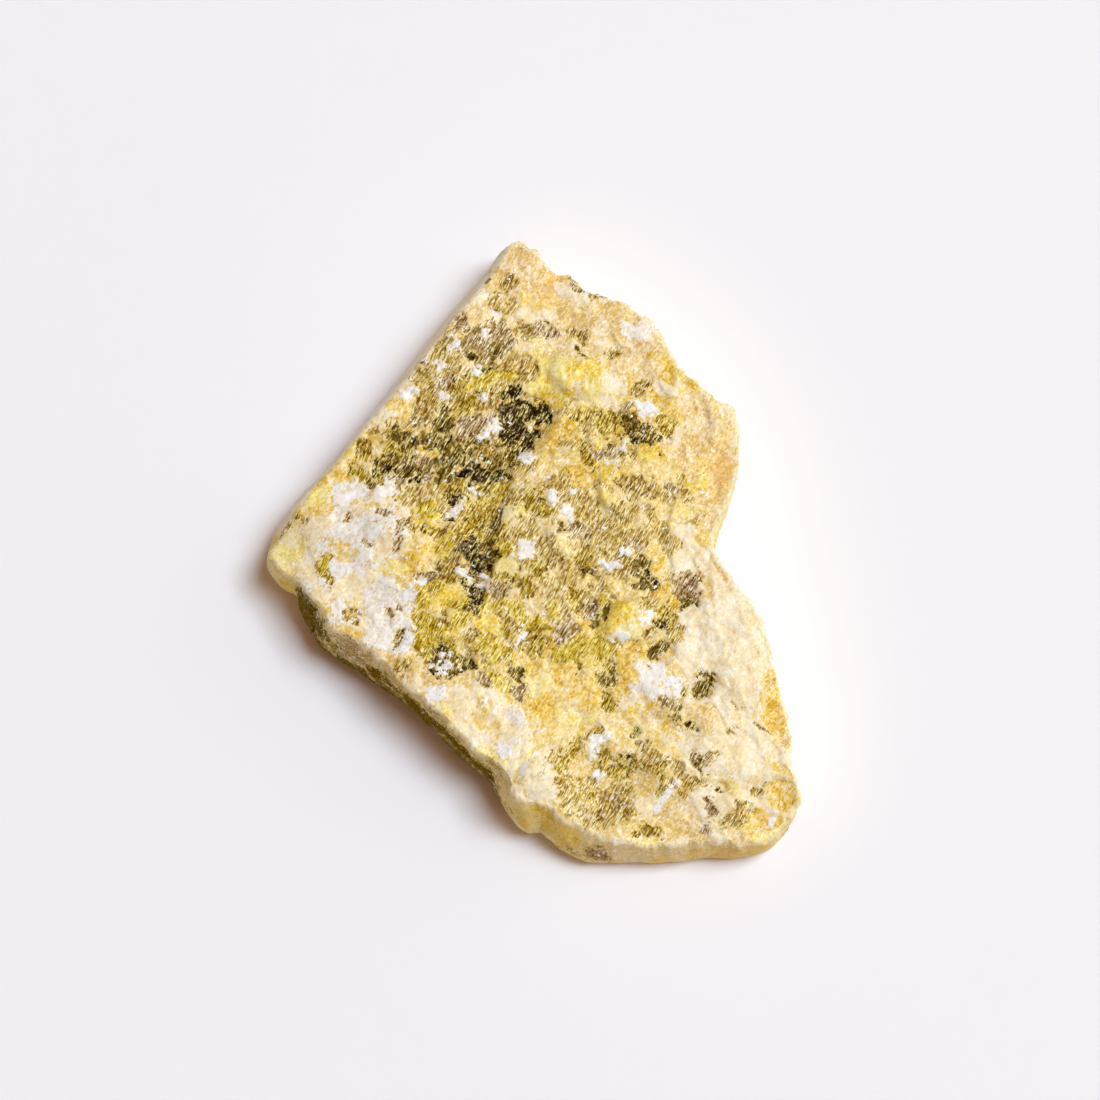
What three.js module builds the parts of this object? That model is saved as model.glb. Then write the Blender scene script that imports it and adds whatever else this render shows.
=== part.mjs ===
/**
 * Rough chrysoberyl: a loose slab of the mineral, broken out of its vein and lying on its flatter side.
 *
 * It is one piece of stone, so it is one closed body. Millimetres, +Z up, origin under the middle of the slab
 * on the surface it lies on. Seen from above, the slab is a leaning plate with a long cleaved side at the
 * upper left, a blunt low tip at the left, a bite out of its right side and a thinner lower right corner.
 */
import * as THREE from 'three'

// How finely the faces are divided. A ring of index k has 6k points, which keeps the triangles even.
const TOP_RINGS = 28
const UNDERSIDE_RINGS = 14

// The point that the rings of the top and of the underside close on
const HUB = new THREE.Vector2(1.9, -2.5)

// The slab's rim, counter-clockwise from the upper tip: x, y, and how far the foot stands out beyond the rim
const RIM = [
  // the long cleaved side, down to the left tip
  [-0.9, 20.2, 0.9],
  [-2.4, 18.0, 1.2],
  [-4.5, 15.3, 1.3],
  [-6.2, 13.0, 1.3],
  [-7.9, 10.8, 1.3],
  [-9.2, 9.2, 1.2],
  [-10.9, 7.1, 1.1],
  [-13.0, 4.5, 1.1],
  [-14.2, 3.2, 1.1],
  [-15.6, 1.4, 1.2],
  [-16.7, -0.2, 1.1],
  [-17.5, -1.8, 0.8],
  // round the left tip and into the recess beside it
  [-16.9, -2.9, 0.6],
  [-15.4, -3.0, 0.7],
  [-14.4, -4.1, 1.1],
  [-13.4, -5.4, 1.3],
  [-13.5, -6.6, 0.7],
  // the broken lower left side
  [-11.9, -7.5, 0.8],
  [-10.5, -8.3, 0.8],
  [-8.6, -9.7, 0.7],
  [-6.2, -11.8, 0.6],
  [-4.9, -13.1, 0.6],
  [-3.5, -14.6, 0.5],
  [-2.1, -15.5, 0.7],
  [-1.4, -16.3, 0.9],
  // the bench below the lipped lump
  [-0.6, -17.8, 0.8],
  [0.2, -18.2, 1.2],
  [1.2, -18.3, 1.1],
  [2.3, -19.0, 1.2],
  [4.0, -19.9, 1.4],
  // the short lower side
  [5.8, -20.5, 0.9],
  [8.1, -20.7, 0.7],
  [10.5, -20.5, 0.7],
  [12.2, -20.4, 0.7],
  [14.1, -20.6, 0.5],
  [16.0, -20.3, 0.3],
  // the lower right corner and the ledge above it
  [17.0, -19.3, 0.2],
  [17.8, -18.2, 0.1],
  [17.9, -17.1, 0.1],
  [17.5, -15.4, 0.2],
  [17.4, -13.9, 0.1],
  [17.2, -12.1, 0.1],
  [16.8, -10.5, 0.2],
  [16.4, -8.9, 0.2],
  // up the right side to the bite
  [16.1, -7.2, 0.1],
  [15.3, -5.4, 0.1],
  [14.1, -3.5, 0.2],
  [13.0, -2.0, 0.3],
  [12.3, -0.6, 0.4],
  [12.7, 0.9, 0.3],
  [13.4, 2.3, 0.1],
  // the right corner
  [14.1, 4.5, 0.1],
  [14.2, 7.4, 0.1],
  [13.8, 8.9, 0.2],
  [12.7, 9.4, 0.4],
  // the crumbled upper right side, back to the upper tip
  [11.5, 10.5, 0.4],
  [10.4, 11.3, 0.4],
  [9.4, 13.1, 0.4],
  [8.4, 14.6, 0.5],
  [7.2, 15.6, 0.5],
  [5.5, 16.4, 0.5],
  [3.9, 17.1, 0.5],
  [2.9, 17.9, 0.5],
  [1.9, 18.0, 0.5],
  [0.6, 19.5, 0.5]
]

// The slab's thickness where it is known: x, y, height of the top above the surface it lies on
const THICKNESS = [
  [-1, 20, 6.6],
  [-6, 13, 7.1],
  [-10, 8, 7.0],
  [-14, 3, 6.6],
  [-17, -1.5, 5.5],
  [-13, -6, 6.5],
  [-6, -11, 6.7],
  [-1.5, -16, 6.4],
  [1.5, -18, 6.0],
  [4.5, -19.5, 5.0],
  [10, -20, 4.6],
  [16, -20, 4.6],
  [17.5, -15, 5.0],
  [16.5, -9, 5.5],
  [14, -3, 5.8],
  [14, 6, 5.8],
  [9, 13, 6.0],
  [3, 17, 6.2],
  [-8, 2, 6.9],
  [0, 0, 6.8],
  [6, 5, 6.6],
  [8, -8, 6.2],
  [8, -15, 5.4]
]

// Lumps, ledges and pits of the top: x, y, half length, half width, turn in degrees, lift
const FEATURES = [
  // the low left tip and the groove behind it
  [-16.6, -1.2, 2.2, 1.3, 60, -0.7],
  [-14.6, -1.8, 1.6, 0.4, -60, -0.4],
  // the dark valley that runs down the middle, and its arm to the left
  [0.4, 7.6, 3.2, 1.5, 60, -0.45],
  [-2.6, 2.0, 3.2, 1.4, 70, -0.5],
  [-3.2, -2.6, 2.6, 1.0, 80, -0.4],
  [-7.6, 4.6, 3.2, 1.3, 10, -0.3],
  [-5.2, -8.4, 2.4, 1.3, 0, -0.3],
  // the lumps and wedges that stand above it
  [3.4, 10.8, 2.4, 1.5, -20, 0.45],
  [5.6, 2.5, 1.7, 0.9, -60, 0.4],
  [2.2, -0.8, 1.5, 0.8, -60, 0.35],
  [6.5, -5.9, 2.0, 1.3, 50, 0.45],
  [-4.6, -6.2, 2.0, 1.2, 30, 0.3],
  [-9.0, -1.5, 3.0, 2.6, 20, 0.25],
  // the pale plateau along the right side, its shelf to the left and the honey ledge below it
  [13.9, -7.2, 5.6, 2.2, -72, 0.4],
  [10.6, -12.0, 3.6, 1.3, -30, 0.3],
  [16.6, -11.9, 2.1, 1.0, -80, -0.8],
  // pits along the plateau's left side
  [8.4, -8.0, 1.1, 0.6, 50, -0.6],
  [11.0, -10.3, 1.5, 0.8, 35, -0.55],
  [10.2, -4.5, 1.3, 1.0, 30, -0.45],
  [8.8, -5.3, 0.9, 0.7, 60, -0.4],
  // the bowl, the sheet and the sunken corner of the thin lower end
  [5.6, -16.4, 3.4, 1.8, -15, -0.4],
  [13.6, -15.2, 3.6, 1.5, -5, 0.3],
  [16.0, -17.9, 2.0, 1.5, 40, -0.45],
  [12.7, -16.8, 0.5, 0.4, 0, -0.5],
  // the lipped lump over the bench
  [0.7, -16.4, 1.6, 1.3, 20, 0.4]
]

// A feature keeps its full lift to the first of these shares of its size, and is gone at the second
const LEDGE = [0.5, 1.2]

// Below the rim: share of the height left, share of the foot's reach, share of the undercut
const WALL = [
  [0.84, 0.3, 0],
  [0.63, 0.65, 0],
  [0.41, 0.9, 0],
  [0.21, 1, 0],
  [0.07, 0.95, 0.4],
  [0, 0.8, 1]
]
const UNDERCUT = 0.7
const RIM_ROUNDING = 0.3

// Broken crystal grains: their width, how far each is lifted and tilted, and the width of the seams
const GRAIN_WIDTH = 2.4
const GRAIN_LIFT = 0.2
const GRAIN_TILT = 0.3
const GRAIN_SEAM = 0.16

// The share of the grain relief that the wall keeps, and the long cleaved side, with the way that side looks
const WALL_RELIEF = 0.6
const CLEAVAGE_RELIEF = 0.25
const CLEAVAGE_OUT = new THREE.Vector2(-0.785, 0.62)

// The underside: the flat it rests on, the band that blends into the rest, its chips and the lift of its edge
const REST_RADIUS = 4.6
const REST_BLEND = 2
const CHIP_START = 0.03
const EDGE_LIFT = 0.3

const ORIGIN = new THREE.Vector2()
const { smoothstep, degToRad, lerp } = THREE.MathUtils

/** A number from 0 to 1 that is always the same for one cell and one purpose. */
function cellNumber(i, j, k, purpose) {
  const wave = Math.sin(i * 127.1 + j * 311.7 + k * 74.7 + purpose * 53.3) * 43758.5453
  return wave - Math.floor(wave)
}

/** Height of the broken grains at a point: each is a lifted, tilted facet, joined to the next by a seam. */
function grainRelief(point) {
  const [ci, cj, ck] = point.toArray().map((value) => Math.floor(value / GRAIN_WIDTH))
  const away = new THREE.Vector3()
  let sum = 0
  let weights = 0
  for (let i = ci - 1; i <= ci + 1; i++) {
    for (let j = cj - 1; j <= cj + 1; j++) {
      for (let k = ck - 1; k <= ck + 1; k++) {
        const signed = (purpose) => 2 * cellNumber(i, j, k, purpose) - 1
        away.set(i + cellNumber(i, j, k, 1), j + cellNumber(i, j, k, 2), k + cellNumber(i, j, k, 3))
        away.multiplyScalar(-GRAIN_WIDTH).add(point)
        const weight = Math.exp(-away.length() / GRAIN_SEAM)
        const slope = signed(5) * away.x + signed(6) * away.y + signed(7) * away.z
        sum += weight * (GRAIN_LIFT * signed(4) + GRAIN_TILT * slope)
        weights += weight
      }
    }
  }
  return sum / weights
}

/** Thickness of the slab at x, y: every known thickness counts by how near it is. */
function thickness(x, y) {
  let sum = 0
  let weights = 0
  for (const [markX, markY, height] of THICKNESS) {
    const weight = 1 / (1 + (x - markX) ** 2 + (y - markY) ** 2) ** 1.5
    sum += weight * height
    weights += weight
  }
  return sum / weights
}

/** Height of the top at x, y, before the grains: the thickness with every lump, ledge and pit. */
function topHeight(x, y) {
  let height = thickness(x, y)
  for (const [centreX, centreY, halfLength, halfWidth, turn, lift] of FEATURES) {
    const away = new THREE.Vector2(x - centreX, y - centreY).rotateAround(ORIGIN, -degToRad(turn))
    const reach = Math.hypot(away.x / halfLength, away.y / halfWidth)
    height += lift * (1 - smoothstep(reach, ...LEDGE))
  }
  return height
}

/** Height of the underside at x, y, for a share of the way from the hub to the underside's edge. */
function undersideHeight(x, y, share) {
  const chips = Math.max(0, grainRelief(new THREE.Vector3(x, y, 0)) - CHIP_START)
  const edge = EDGE_LIFT * smoothstep(share, 0.8, 1)
  return (chips + edge) * smoothstep(Math.hypot(x, y), REST_RADIUS, REST_RADIUS + REST_BLEND)
}

const rimCurve = new THREE.CatmullRomCurve3(RIM.map((row) => new THREE.Vector3(...row)), true, 'centripetal')

/** The rim, for a share of the way round: its point, the way out, the foot's reach and the grains' share. */
function rimAt(share) {
  const { x, y, z: reach } = rimCurve.getPointAt(share)
  const tangent = rimCurve.getTangentAt(share)
  const out = new THREE.Vector2(tangent.y, -tangent.x).normalize()
  const relief = lerp(WALL_RELIEF, CLEAVAGE_RELIEF, smoothstep(out.dot(CLEAVAGE_OUT), 0.85, 0.97))
  return { point: new THREE.Vector2(x, y), out, reach, relief }
}

/** The underside's edge below the rim: the foot, drawn in by the undercut. */
function undersideEdge({ point, out, reach }) {
  return point.clone().addScaledVector(out, reach * WALL.at(-1)[1] - UNDERCUT)
}

/** One closed loop of points, counter-clockwise seen from above. */
function loop(count, pointAt) {
  return Array.from({ length: count }, (_, index) => pointAt(rimAt(index / count)))
}

/** A ring of the top, for a share of the way from the hub to the rim. At the rim its grains stand outwards. */
function topLoop(count, share) {
  const lean = smoothstep(share, 0.9, 1)
  return loop(count, ({ point, out, relief }) => {
    const { x, y } = HUB.clone().lerp(point, share)
    const surface = new THREE.Vector3(x, y, topHeight(x, y) - RIM_ROUNDING * lean ** 2)
    const grainsStand = new THREE.Vector3(out.x * lean, out.y * lean, 1).normalize()
    return surface.addScaledVector(grainsStand, grainRelief(surface) * lerp(1, relief, lean))
  })
}

/** A loop round the wall, at one row of WALL. Its grains stand straight out. */
function wallLoop(count, [heightShare, reachShare, undercutShare]) {
  return loop(count, (rim) => {
    const foot = rim.point.clone().addScaledVector(rim.out, rim.reach * reachShare - UNDERCUT * undercutShare)
    const edge = undersideEdge(rim)
    const top = topHeight(rim.point.x, rim.point.y) - RIM_ROUNDING
    const height = lerp(undersideHeight(edge.x, edge.y, 1), top, heightShare)
    const surface = new THREE.Vector3(foot.x, foot.y, height)
    const grainsStand = new THREE.Vector3(rim.out.x, rim.out.y, 0)
    return surface.addScaledVector(grainsStand, grainRelief(surface) * rim.relief)
  })
}

/** A ring of the underside, for a share of the way from the hub to its edge. */
function undersideLoop(count, share) {
  return loop(count, (rim) => {
    const { x, y } = HUB.clone().lerp(undersideEdge(rim), share)
    return new THREE.Vector3(x, y, undersideHeight(x, y, share))
  })
}

/** Triangles between two neighbouring loops, which may have different numbers of points. */
function stitch(inner, outer) {
  const triangles = []
  let i = 0
  let j = 0
  while (i < inner.count || j < outer.count) {
    const corners = [inner.first + (i % inner.count), outer.first + (j % outer.count)]
    if ((j + 1) / outer.count <= (i + 1) / inner.count) corners.push(outer.first + (++j % outer.count))
    else corners.push(inner.first + (++i % inner.count))
    // a loop that is one point has one triangle without an area
    if (new Set(corners).size === 3) triangles.push(...corners)
  }
  return triangles
}

/** The slab: loops from the top's hub out to the rim, down the wall and in to the underside's hub. */
function slabGeometry() {
  const loops = [topLoop(1, 0)]
  for (let ring = 1; ring <= TOP_RINGS; ring++) loops.push(topLoop(6 * ring, ring / TOP_RINGS))
  for (const row of WALL) loops.push(wallLoop(6 * TOP_RINGS, row))
  for (let ring = UNDERSIDE_RINGS; ring >= 1; ring--) {
    loops.push(undersideLoop(6 * ring, ring / (UNDERSIDE_RINGS + 1)))
  }
  loops.push(undersideLoop(1, 0))

  const triangles = []
  let first = 0
  for (let index = 1; index < loops.length; index++) {
    const inner = { first, count: loops[index - 1].length }
    first += inner.count
    triangles.push(...stitch(inner, { first, count: loops[index].length }))
  }
  return new THREE.BufferGeometry().setFromPoints(loops.flat()).setIndex(triangles)
}

/** The stone, centred over the origin. */
function buildStone() {
  const geometry = slabGeometry()
  geometry.computeBoundingBox()
  const middle = geometry.boundingBox.getCenter(new THREE.Vector3())
  geometry.translate(-middle.x, -middle.y, 0)
  geometry.computeVertexNormals()

  const material = new THREE.MeshStandardMaterial({ color: '#d5bd86', roughness: 0.5, metalness: 0 })
  const stone = new THREE.Mesh(geometry, material)
  stone.name = 'stone'
  return stone
}

const chrysoberyl = new THREE.Group()
chrysoberyl.add(buildStone())

export default chrysoberyl
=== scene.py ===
"""Rough chrysoberyl: a loose slab of the mineral, broken out of its vein, with the studio it is shown in.

The stone is one piece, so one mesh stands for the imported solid. Its form repeats the solid's own
construction, with finer loops, crisper ledges and two more sizes of broken grains. The stone's sizes are in
millimetres up to the point where its mesh is made, and those of the floor and the lights are in metres.
"""

import logging
import math
from dataclasses import dataclass
from enum import Enum, IntEnum
from itertools import product
from typing import Any, ClassVar, Sequence

import bpy
import numpy as np
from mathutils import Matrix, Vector


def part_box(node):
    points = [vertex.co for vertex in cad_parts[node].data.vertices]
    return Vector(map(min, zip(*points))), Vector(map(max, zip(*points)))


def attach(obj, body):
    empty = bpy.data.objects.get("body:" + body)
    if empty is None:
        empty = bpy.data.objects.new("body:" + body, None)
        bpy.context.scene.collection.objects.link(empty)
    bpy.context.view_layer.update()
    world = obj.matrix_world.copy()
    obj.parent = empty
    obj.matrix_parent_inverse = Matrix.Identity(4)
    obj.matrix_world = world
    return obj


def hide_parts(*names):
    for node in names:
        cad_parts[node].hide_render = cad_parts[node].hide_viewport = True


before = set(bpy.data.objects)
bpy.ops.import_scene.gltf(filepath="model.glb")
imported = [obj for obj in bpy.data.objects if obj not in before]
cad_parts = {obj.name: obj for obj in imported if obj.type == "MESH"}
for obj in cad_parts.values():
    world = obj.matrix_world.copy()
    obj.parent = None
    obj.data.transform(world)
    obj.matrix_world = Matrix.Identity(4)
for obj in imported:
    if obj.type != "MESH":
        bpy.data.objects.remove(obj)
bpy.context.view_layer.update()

MM = 0.001

log = logging.getLogger("chrysoberyl")


# ---------------------------------------------------------------- helpers


def smoothstep(values: np.ndarray, low: float, high: float) -> np.ndarray:
    """Smooth rise from 0 at low to 1 at high."""
    share = np.clip((values - low) / (high - low), 0, 1)
    return share * share * (3 - 2 * share)


class Draw(IntEnum):
    """What a cell's number is drawn for, so that one cell's numbers don't follow each other."""

    # the first of three, one for each axis
    CENTRE = 1
    LIFT = 4
    # the first of three, one for each axis
    SLOPE = 5
    LEDGE = 8
    PATCH_X = 9
    PATCH_Y = 10
    BLOCK_TINT = 11
    GRAIN_TINT = 12
    ZONE_X = 13
    ZONE_Y = 14
    RIM_HIGHLIGHT = 15
    ZONE_DEPTH = 16
    CHIP = 17


def cell_number(cells: np.ndarray, purpose: int) -> np.ndarray:
    """Numbers from 0 to 1 that are always the same for one cell and one purpose.

    Args:
        cells: whole cell numbers, three to a row.
        purpose: what the number is drawn for, as a Draw or one of the places after it.

    Returns:
        One number for each row.
    """
    wave = cells[:, 0] * 127.1 + cells[:, 1] * 311.7 + cells[:, 2] * 74.7 + purpose * 53.3
    wave = np.sin(wave) * 43758.5453
    return wave - np.floor(wave)


def linear(hex_colour: str) -> tuple[float, float, float, float]:
    """Turn an sRGB hex colour into the linear RGBA that shader sockets take.

    Args:
        hex_colour: six hex digits, with or without a leading #.

    Returns:
        Linear red, green and blue, and an alpha of 1.
    """
    digits = hex_colour.lstrip("#")
    channels = [int(digits[place:place + 2], 16) / 255 for place in (0, 2, 4)]
    red, green, blue = (c / 12.92 if c <= 0.04045 else ((c + 0.055) / 1.055) ** 2.4 for c in channels)
    return red, green, blue, 1.0


def add_node(tree: bpy.types.NodeTree, kind: str, settings: dict[str, Any], inputs: dict) -> bpy.types.Node:
    """Add one node, set its properties, and fill or link its inputs.

    Args:
        tree: the node tree that gets the node.
        kind: the node's type name.
        settings: values of the node's own properties, by name.
        inputs: by input name or number, a constant or the output socket to link from.

    Returns:
        The new node.
    """
    node = tree.nodes.new(kind)
    for name, value in settings.items():
        setattr(node, name, value)
    for name, value in inputs.items():
        socket = node.inputs[name]
        if isinstance(value, bpy.types.NodeSocket):
            tree.links.new(value, socket)
        else:
            socket.default_value = value
    return node


# ---------------------------------------------------------------- the stone's form


@dataclass(frozen=True)
class Grains:
    """One size of broken crystal grains: each is a lifted, tilted facet, joined to the next by a seam."""

    width: float
    lift: float
    tilt: float
    seam: float

    def relief(self, points: np.ndarray) -> np.ndarray:
        """Height of the grains at each point.

        Args:
            points: places in the stone, in millimetres.

        Returns:
            One height in millimetres for each point.
        """
        cells = np.floor(points / self.width)
        total = np.zeros(len(points))
        weights = np.zeros(len(points))
        for step in product((-1, 0, 1), repeat=3):
            near = cells + step
            away = points - self.width * (near + self._centre(near))
            weight = np.exp(-np.linalg.norm(away, axis=1) / self.seam)
            slope = sum((2 * cell_number(near, Draw.SLOPE + axis) - 1) * away[:, axis] for axis in range(3))
            lift = 2 * cell_number(near, Draw.LIFT) - 1
            total += weight * (self.lift * lift + self.tilt * slope)
            weights += weight
        return total / weights

    def nearest(self, points: np.ndarray) -> np.ndarray:
        """The cell whose grain each point belongs to.

        Args:
            points: places in the stone, in millimetres.

        Returns:
            Whole cell numbers, three for each point.
        """
        cells = np.floor(points / self.width)
        best = np.full(len(points), np.inf)
        owner = cells.copy()
        for step in product((-1, 0, 1), repeat=3):
            near = cells + step
            away = np.linalg.norm(points / self.width - near - self._centre(near), axis=1)
            closer = away < best
            best[closer] = away[closer]
            owner[closer] = near[closer]
        return owner

    @staticmethod
    def _centre(cells: np.ndarray) -> np.ndarray:
        """Where in its cell each grain has its centre."""
        return np.stack([cell_number(cells, Draw.CENTRE + axis) for axis in range(3)], axis=1)


# a lump has lost its lift at this share of its size, a little past its outline
LUMP_EDGE = 1.12


@dataclass(frozen=True)
class Lump:
    """A lump, ledge or pit of the top: an ellipse with a lift, which is negative for a pit."""

    x: float
    y: float
    half_length: float
    half_width: float
    turn: float
    lift: float
    # the lump keeps its full lift to this share of its size
    ledge: float = 0.55

    def height(self, x: np.ndarray, y: np.ndarray, jitter: np.ndarray) -> np.ndarray:
        """What the lump adds to the top at each place.

        Args:
            x: places along X.
            y: places along Y.
            jitter: how far the outline wanders at each place, as a share of the size.

        Returns:
            Heights in millimetres.
        """
        return self.lift * (1 - smoothstep(ellipse_reach(self, x, y) + jitter, self.ledge, LUMP_EDGE))


def ellipse_reach(ellipse: "Lump | Patch | Zone", x: np.ndarray, y: np.ndarray,
                  power: float = 2.0) -> np.ndarray:
    """How far places lie from an ellipse's centre, as a share of the ellipse.

    Args:
        ellipse: the lump, patch or zone, whose turn is in degrees.
        x: places along X.
        y: places along Y.
        power: 2 for a true ellipse, more for a blunter one that nears a box.

    Returns:
        0 at the centre and 1 on the outline.
    """
    turn = math.radians(ellipse.turn)
    away_x = x - ellipse.x
    away_y = y - ellipse.y
    along = away_x * math.cos(turn) + away_y * math.sin(turn)
    across = away_y * math.cos(turn) - away_x * math.sin(turn)
    shares = np.abs(along / ellipse.half_length) ** power + np.abs(across / ellipse.half_width) ** power
    return shares ** (1 / power)


# The rim, counter-clockwise from the upper tip: x, y, and how far the foot stands out beyond the rim
RIM = (
    # the long cleaved side, down to the left tip
    (-0.9, 20.2, 0.9),
    (-2.4, 18.0, 1.2),
    (-4.5, 15.3, 1.3),
    (-6.2, 13.0, 1.3),
    (-7.9, 10.8, 1.3),
    (-9.2, 9.2, 1.2),
    (-10.9, 7.1, 1.1),
    (-13.0, 4.5, 1.1),
    (-14.2, 3.2, 1.1),
    (-15.6, 1.4, 1.2),
    (-16.6, -0.1, 1.0),
    (-17.2, -1.3, 0.5),
    # round the left tip and into the recess beside it
    (-16.4, -2.5, 0.35),
    (-15.3, -3.1, 0.5),
    (-14.6, -4.1, 0.9),
    (-13.4, -5.4, 1.3),
    (-13.3, -6.2, 1.0),
    # the broken lower left side
    (-11.6, -7.1, 1.2),
    (-10.3, -8.0, 1.1),
    (-8.6, -9.7, 0.7),
    (-6.2, -11.8, 0.6),
    (-4.9, -13.1, 0.6),
    (-3.5, -14.6, 0.5),
    (-2.1, -15.5, 0.7),
    (-1.4, -16.3, 0.9),
    # the bench below the lipped lump
    (-0.6, -17.8, 0.8),
    (0.2, -18.2, 1.2),
    (1.2, -18.3, 1.1),
    (2.3, -19.0, 1.2),
    (4.0, -19.9, 1.4),
    # the short lower side
    (5.8, -20.5, 0.9),
    (8.1, -20.7, 0.7),
    (10.5, -20.5, 0.7),
    (12.2, -20.4, 0.7),
    (14.1, -20.6, 0.5),
    (16.0, -20.3, 0.3),
    # the lower right corner and the ledge above it
    (17.0, -19.3, 0.2),
    (17.8, -18.2, 0.1),
    (17.9, -17.1, 0.1),
    (17.5, -15.4, 0.2),
    (17.4, -13.9, 0.1),
    (17.2, -12.1, 0.1),
    (16.8, -10.5, 0.2),
    (16.4, -8.9, 0.2),
    # up the right side to the bite
    (16.1, -7.2, 0.1),
    (15.3, -5.4, 0.1),
    (14.1, -3.5, 0.2),
    (13.0, -2.0, 0.3),
    (12.3, -0.6, 0.4),
    (12.7, 0.9, 0.3),
    (13.4, 2.3, 0.1),
    # the right corner
    (14.1, 4.5, 0.1),
    (14.2, 7.4, 0.1),
    (13.8, 8.9, 0.2),
    (12.7, 9.4, 0.4),
    # the crumbled upper right side, back to the upper tip
    (11.5, 10.5, 0.4),
    (10.4, 11.3, 0.4),
    (9.4, 13.1, 0.4),
    (8.4, 14.6, 0.5),
    (7.2, 15.6, 0.5),
    (5.5, 16.4, 0.5),
    (3.9, 17.1, 0.5),
    (2.9, 17.9, 0.5),
    (1.9, 18.0, 0.5),
    (0.6, 19.5, 0.5),
)

# The slab's thickness where it is known: x, y, height of the top above the surface it lies on
THICKNESS = (
    (-1, 20, 6.6),
    (-6, 13, 7.1),
    (-10, 8, 7.0),
    (-14, 3, 6.6),
    (-17, -1.5, 5.5),
    (-13, -6, 6.5),
    (-6, -11, 6.7),
    (-1.5, -16, 6.4),
    (1.5, -18, 6.0),
    (4.5, -19.5, 5.0),
    (10, -20, 4.6),
    (16, -20, 4.6),
    (17.5, -15, 5.0),
    (16.5, -9, 5.5),
    (14, -3, 5.8),
    (14, 6, 5.8),
    (9, 13, 6.0),
    (3, 17, 6.2),
    (-8, 2, 6.9),
    (0, 0, 6.8),
    (6, 5, 6.6),
    (8, -8, 6.2),
    (8, -15, 5.4),
)

LUMPS = (
    # the low left tip and the groove behind it
    Lump(-17.0, -1.2, 3.4, 2.2, 60, -0.25, 0.1),
    Lump(-14.6, -1.8, 1.6, 0.5, -60, -0.15),
    # the dark valley that runs down the middle, and its arm to the left
    Lump(0.4, 7.6, 3.2, 1.5, 60, -0.45),
    Lump(-2.6, 2.0, 3.2, 1.5, 70, -0.4, 0.4),
    Lump(-3.2, -2.6, 2.6, 1.0, 80, -0.4),
    Lump(-7.6, 4.6, 3.2, 1.3, 10, -0.3),
    Lump(-5.2, -8.4, 2.4, 1.3, 0, -0.3),
    # the lumps and wedges that stand above it
    Lump(3.4, 10.8, 2.4, 1.5, -20, 0.45),
    Lump(5.6, 2.5, 1.7, 0.9, -60, 0.4),
    Lump(2.2, -0.8, 1.5, 0.8, -60, 0.35),
    Lump(6.5, -5.9, 2.0, 1.3, 50, 0.45),
    Lump(-4.6, -6.2, 2.0, 1.2, 30, 0.3),
    Lump(-9.0, -1.5, 3.0, 2.6, 20, 0.25),
    # the pale plateau along the right side, its shelf to the left and the honey ledge below it
    Lump(13.9, -7.2, 5.6, 2.2, -72, 0.25, 0.4),
    Lump(10.6, -12.0, 3.6, 1.3, -30, 0.2, 0.4),
    Lump(16.6, -11.9, 2.1, 1.0, -80, -0.5, 0.85),
    # pits along the plateau's left side
    Lump(9.0, -8.1, 1.2, 0.8, 50, -0.25, 0.5),
    Lump(11.6, -10.3, 1.3, 0.8, 35, -0.25, 0.5),
    Lump(10.6, -4.4, 1.3, 1.0, 60, -0.2),
    Lump(9.2, -6.0, 0.9, 0.7, 60, -0.2),
    # the bowl, the sheet and the sunken corner of the thin lower end
    Lump(5.6, -16.4, 3.4, 1.8, -15, -0.4),
    Lump(13.6, -15.2, 3.6, 1.5, -5, 0.15),
    Lump(16.0, -17.9, 2.0, 1.5, 40, -0.25, 0.85),
    Lump(12.7, -16.8, 0.5, 0.4, 0, -0.35, 0.85),
    # the lipped lump over the bench
    Lump(0.7, -16.4, 1.6, 1.3, 20, 0.4),
)

# Down the wall, from the rim: share of the height left, share of the foot's reach, share of the undercut
WALL = (
    (1, 0, 0),
    (0.84, 0.3, 0),
    (0.63, 0.65, 0),
    (0.41, 0.9, 0),
    (0.21, 1, 0),
    (0.07, 0.95, 0.4),
    (0, 0.8, 1),
)


# ---------------------------------------------------------------- the stone's colours


class Tint(Enum):
    """The colours of the mineral's grains. Each value is also the mesh attribute that says where."""

    STRAW = "straw"
    TAN = "tan"
    CREAM = "cream"
    PRIMROSE = "primrose"
    LEMON = "lemon"
    GREEN = "green"
    HONEY = "honey"
    GOLD = "gold"
    ORANGE = "orange"
    BROWN = "brown"
    MAUVE = "mauve"
    OLIVE = "olive"
    MILKY = "milky"
    MOSS = "moss"
    GREY = "grey"
    SMOKY = "smoky"
    DEEP = "deep"
    # white grains, and painted highlights: white spots and streaks where facets catch the light
    WHITE = "white"


@dataclass(frozen=True)
class Habit:
    """How a tint's crystals grew.

    The shares say how much needles, glints, grains and blocks each vary the shade. The stops are the shades,
    from 0 to 1, of a tint's darkest, middle and brightest colour.
    """

    shares: tuple[float, float, float, float]
    stops: tuple[float, float, float]


# sugary grains are even and pale; needled ones shimmer and glassy ones are dark but for a few needles, and
# in both the bright needles are painted glints
SUGARY = Habit((0.25, 0.6, 0.06, 0.28), (0.18, 0.5, 0.82))
NEEDLED = Habit((0.95, 0.4, 0.06, 0.2), (0.12, 0.56, 0.9))
GLASSY = Habit((0.95, 0.25, 0.08, 0.2), (0.14, 0.74, 0.94))


@dataclass(frozen=True)
class Shades:
    """How one tint looks.

    The colours are those of its darkest spots, its body and its brightest spots. Then come how its crystals
    grew, how high it stands in millimetres, its roughness, and how strongly its facets stand out.
    """

    dark: str
    body: str
    bright: str
    habit: Habit = SUGARY
    lift: float = 0.0
    roughness: float = 0.32
    facets: float = 0.4


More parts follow.
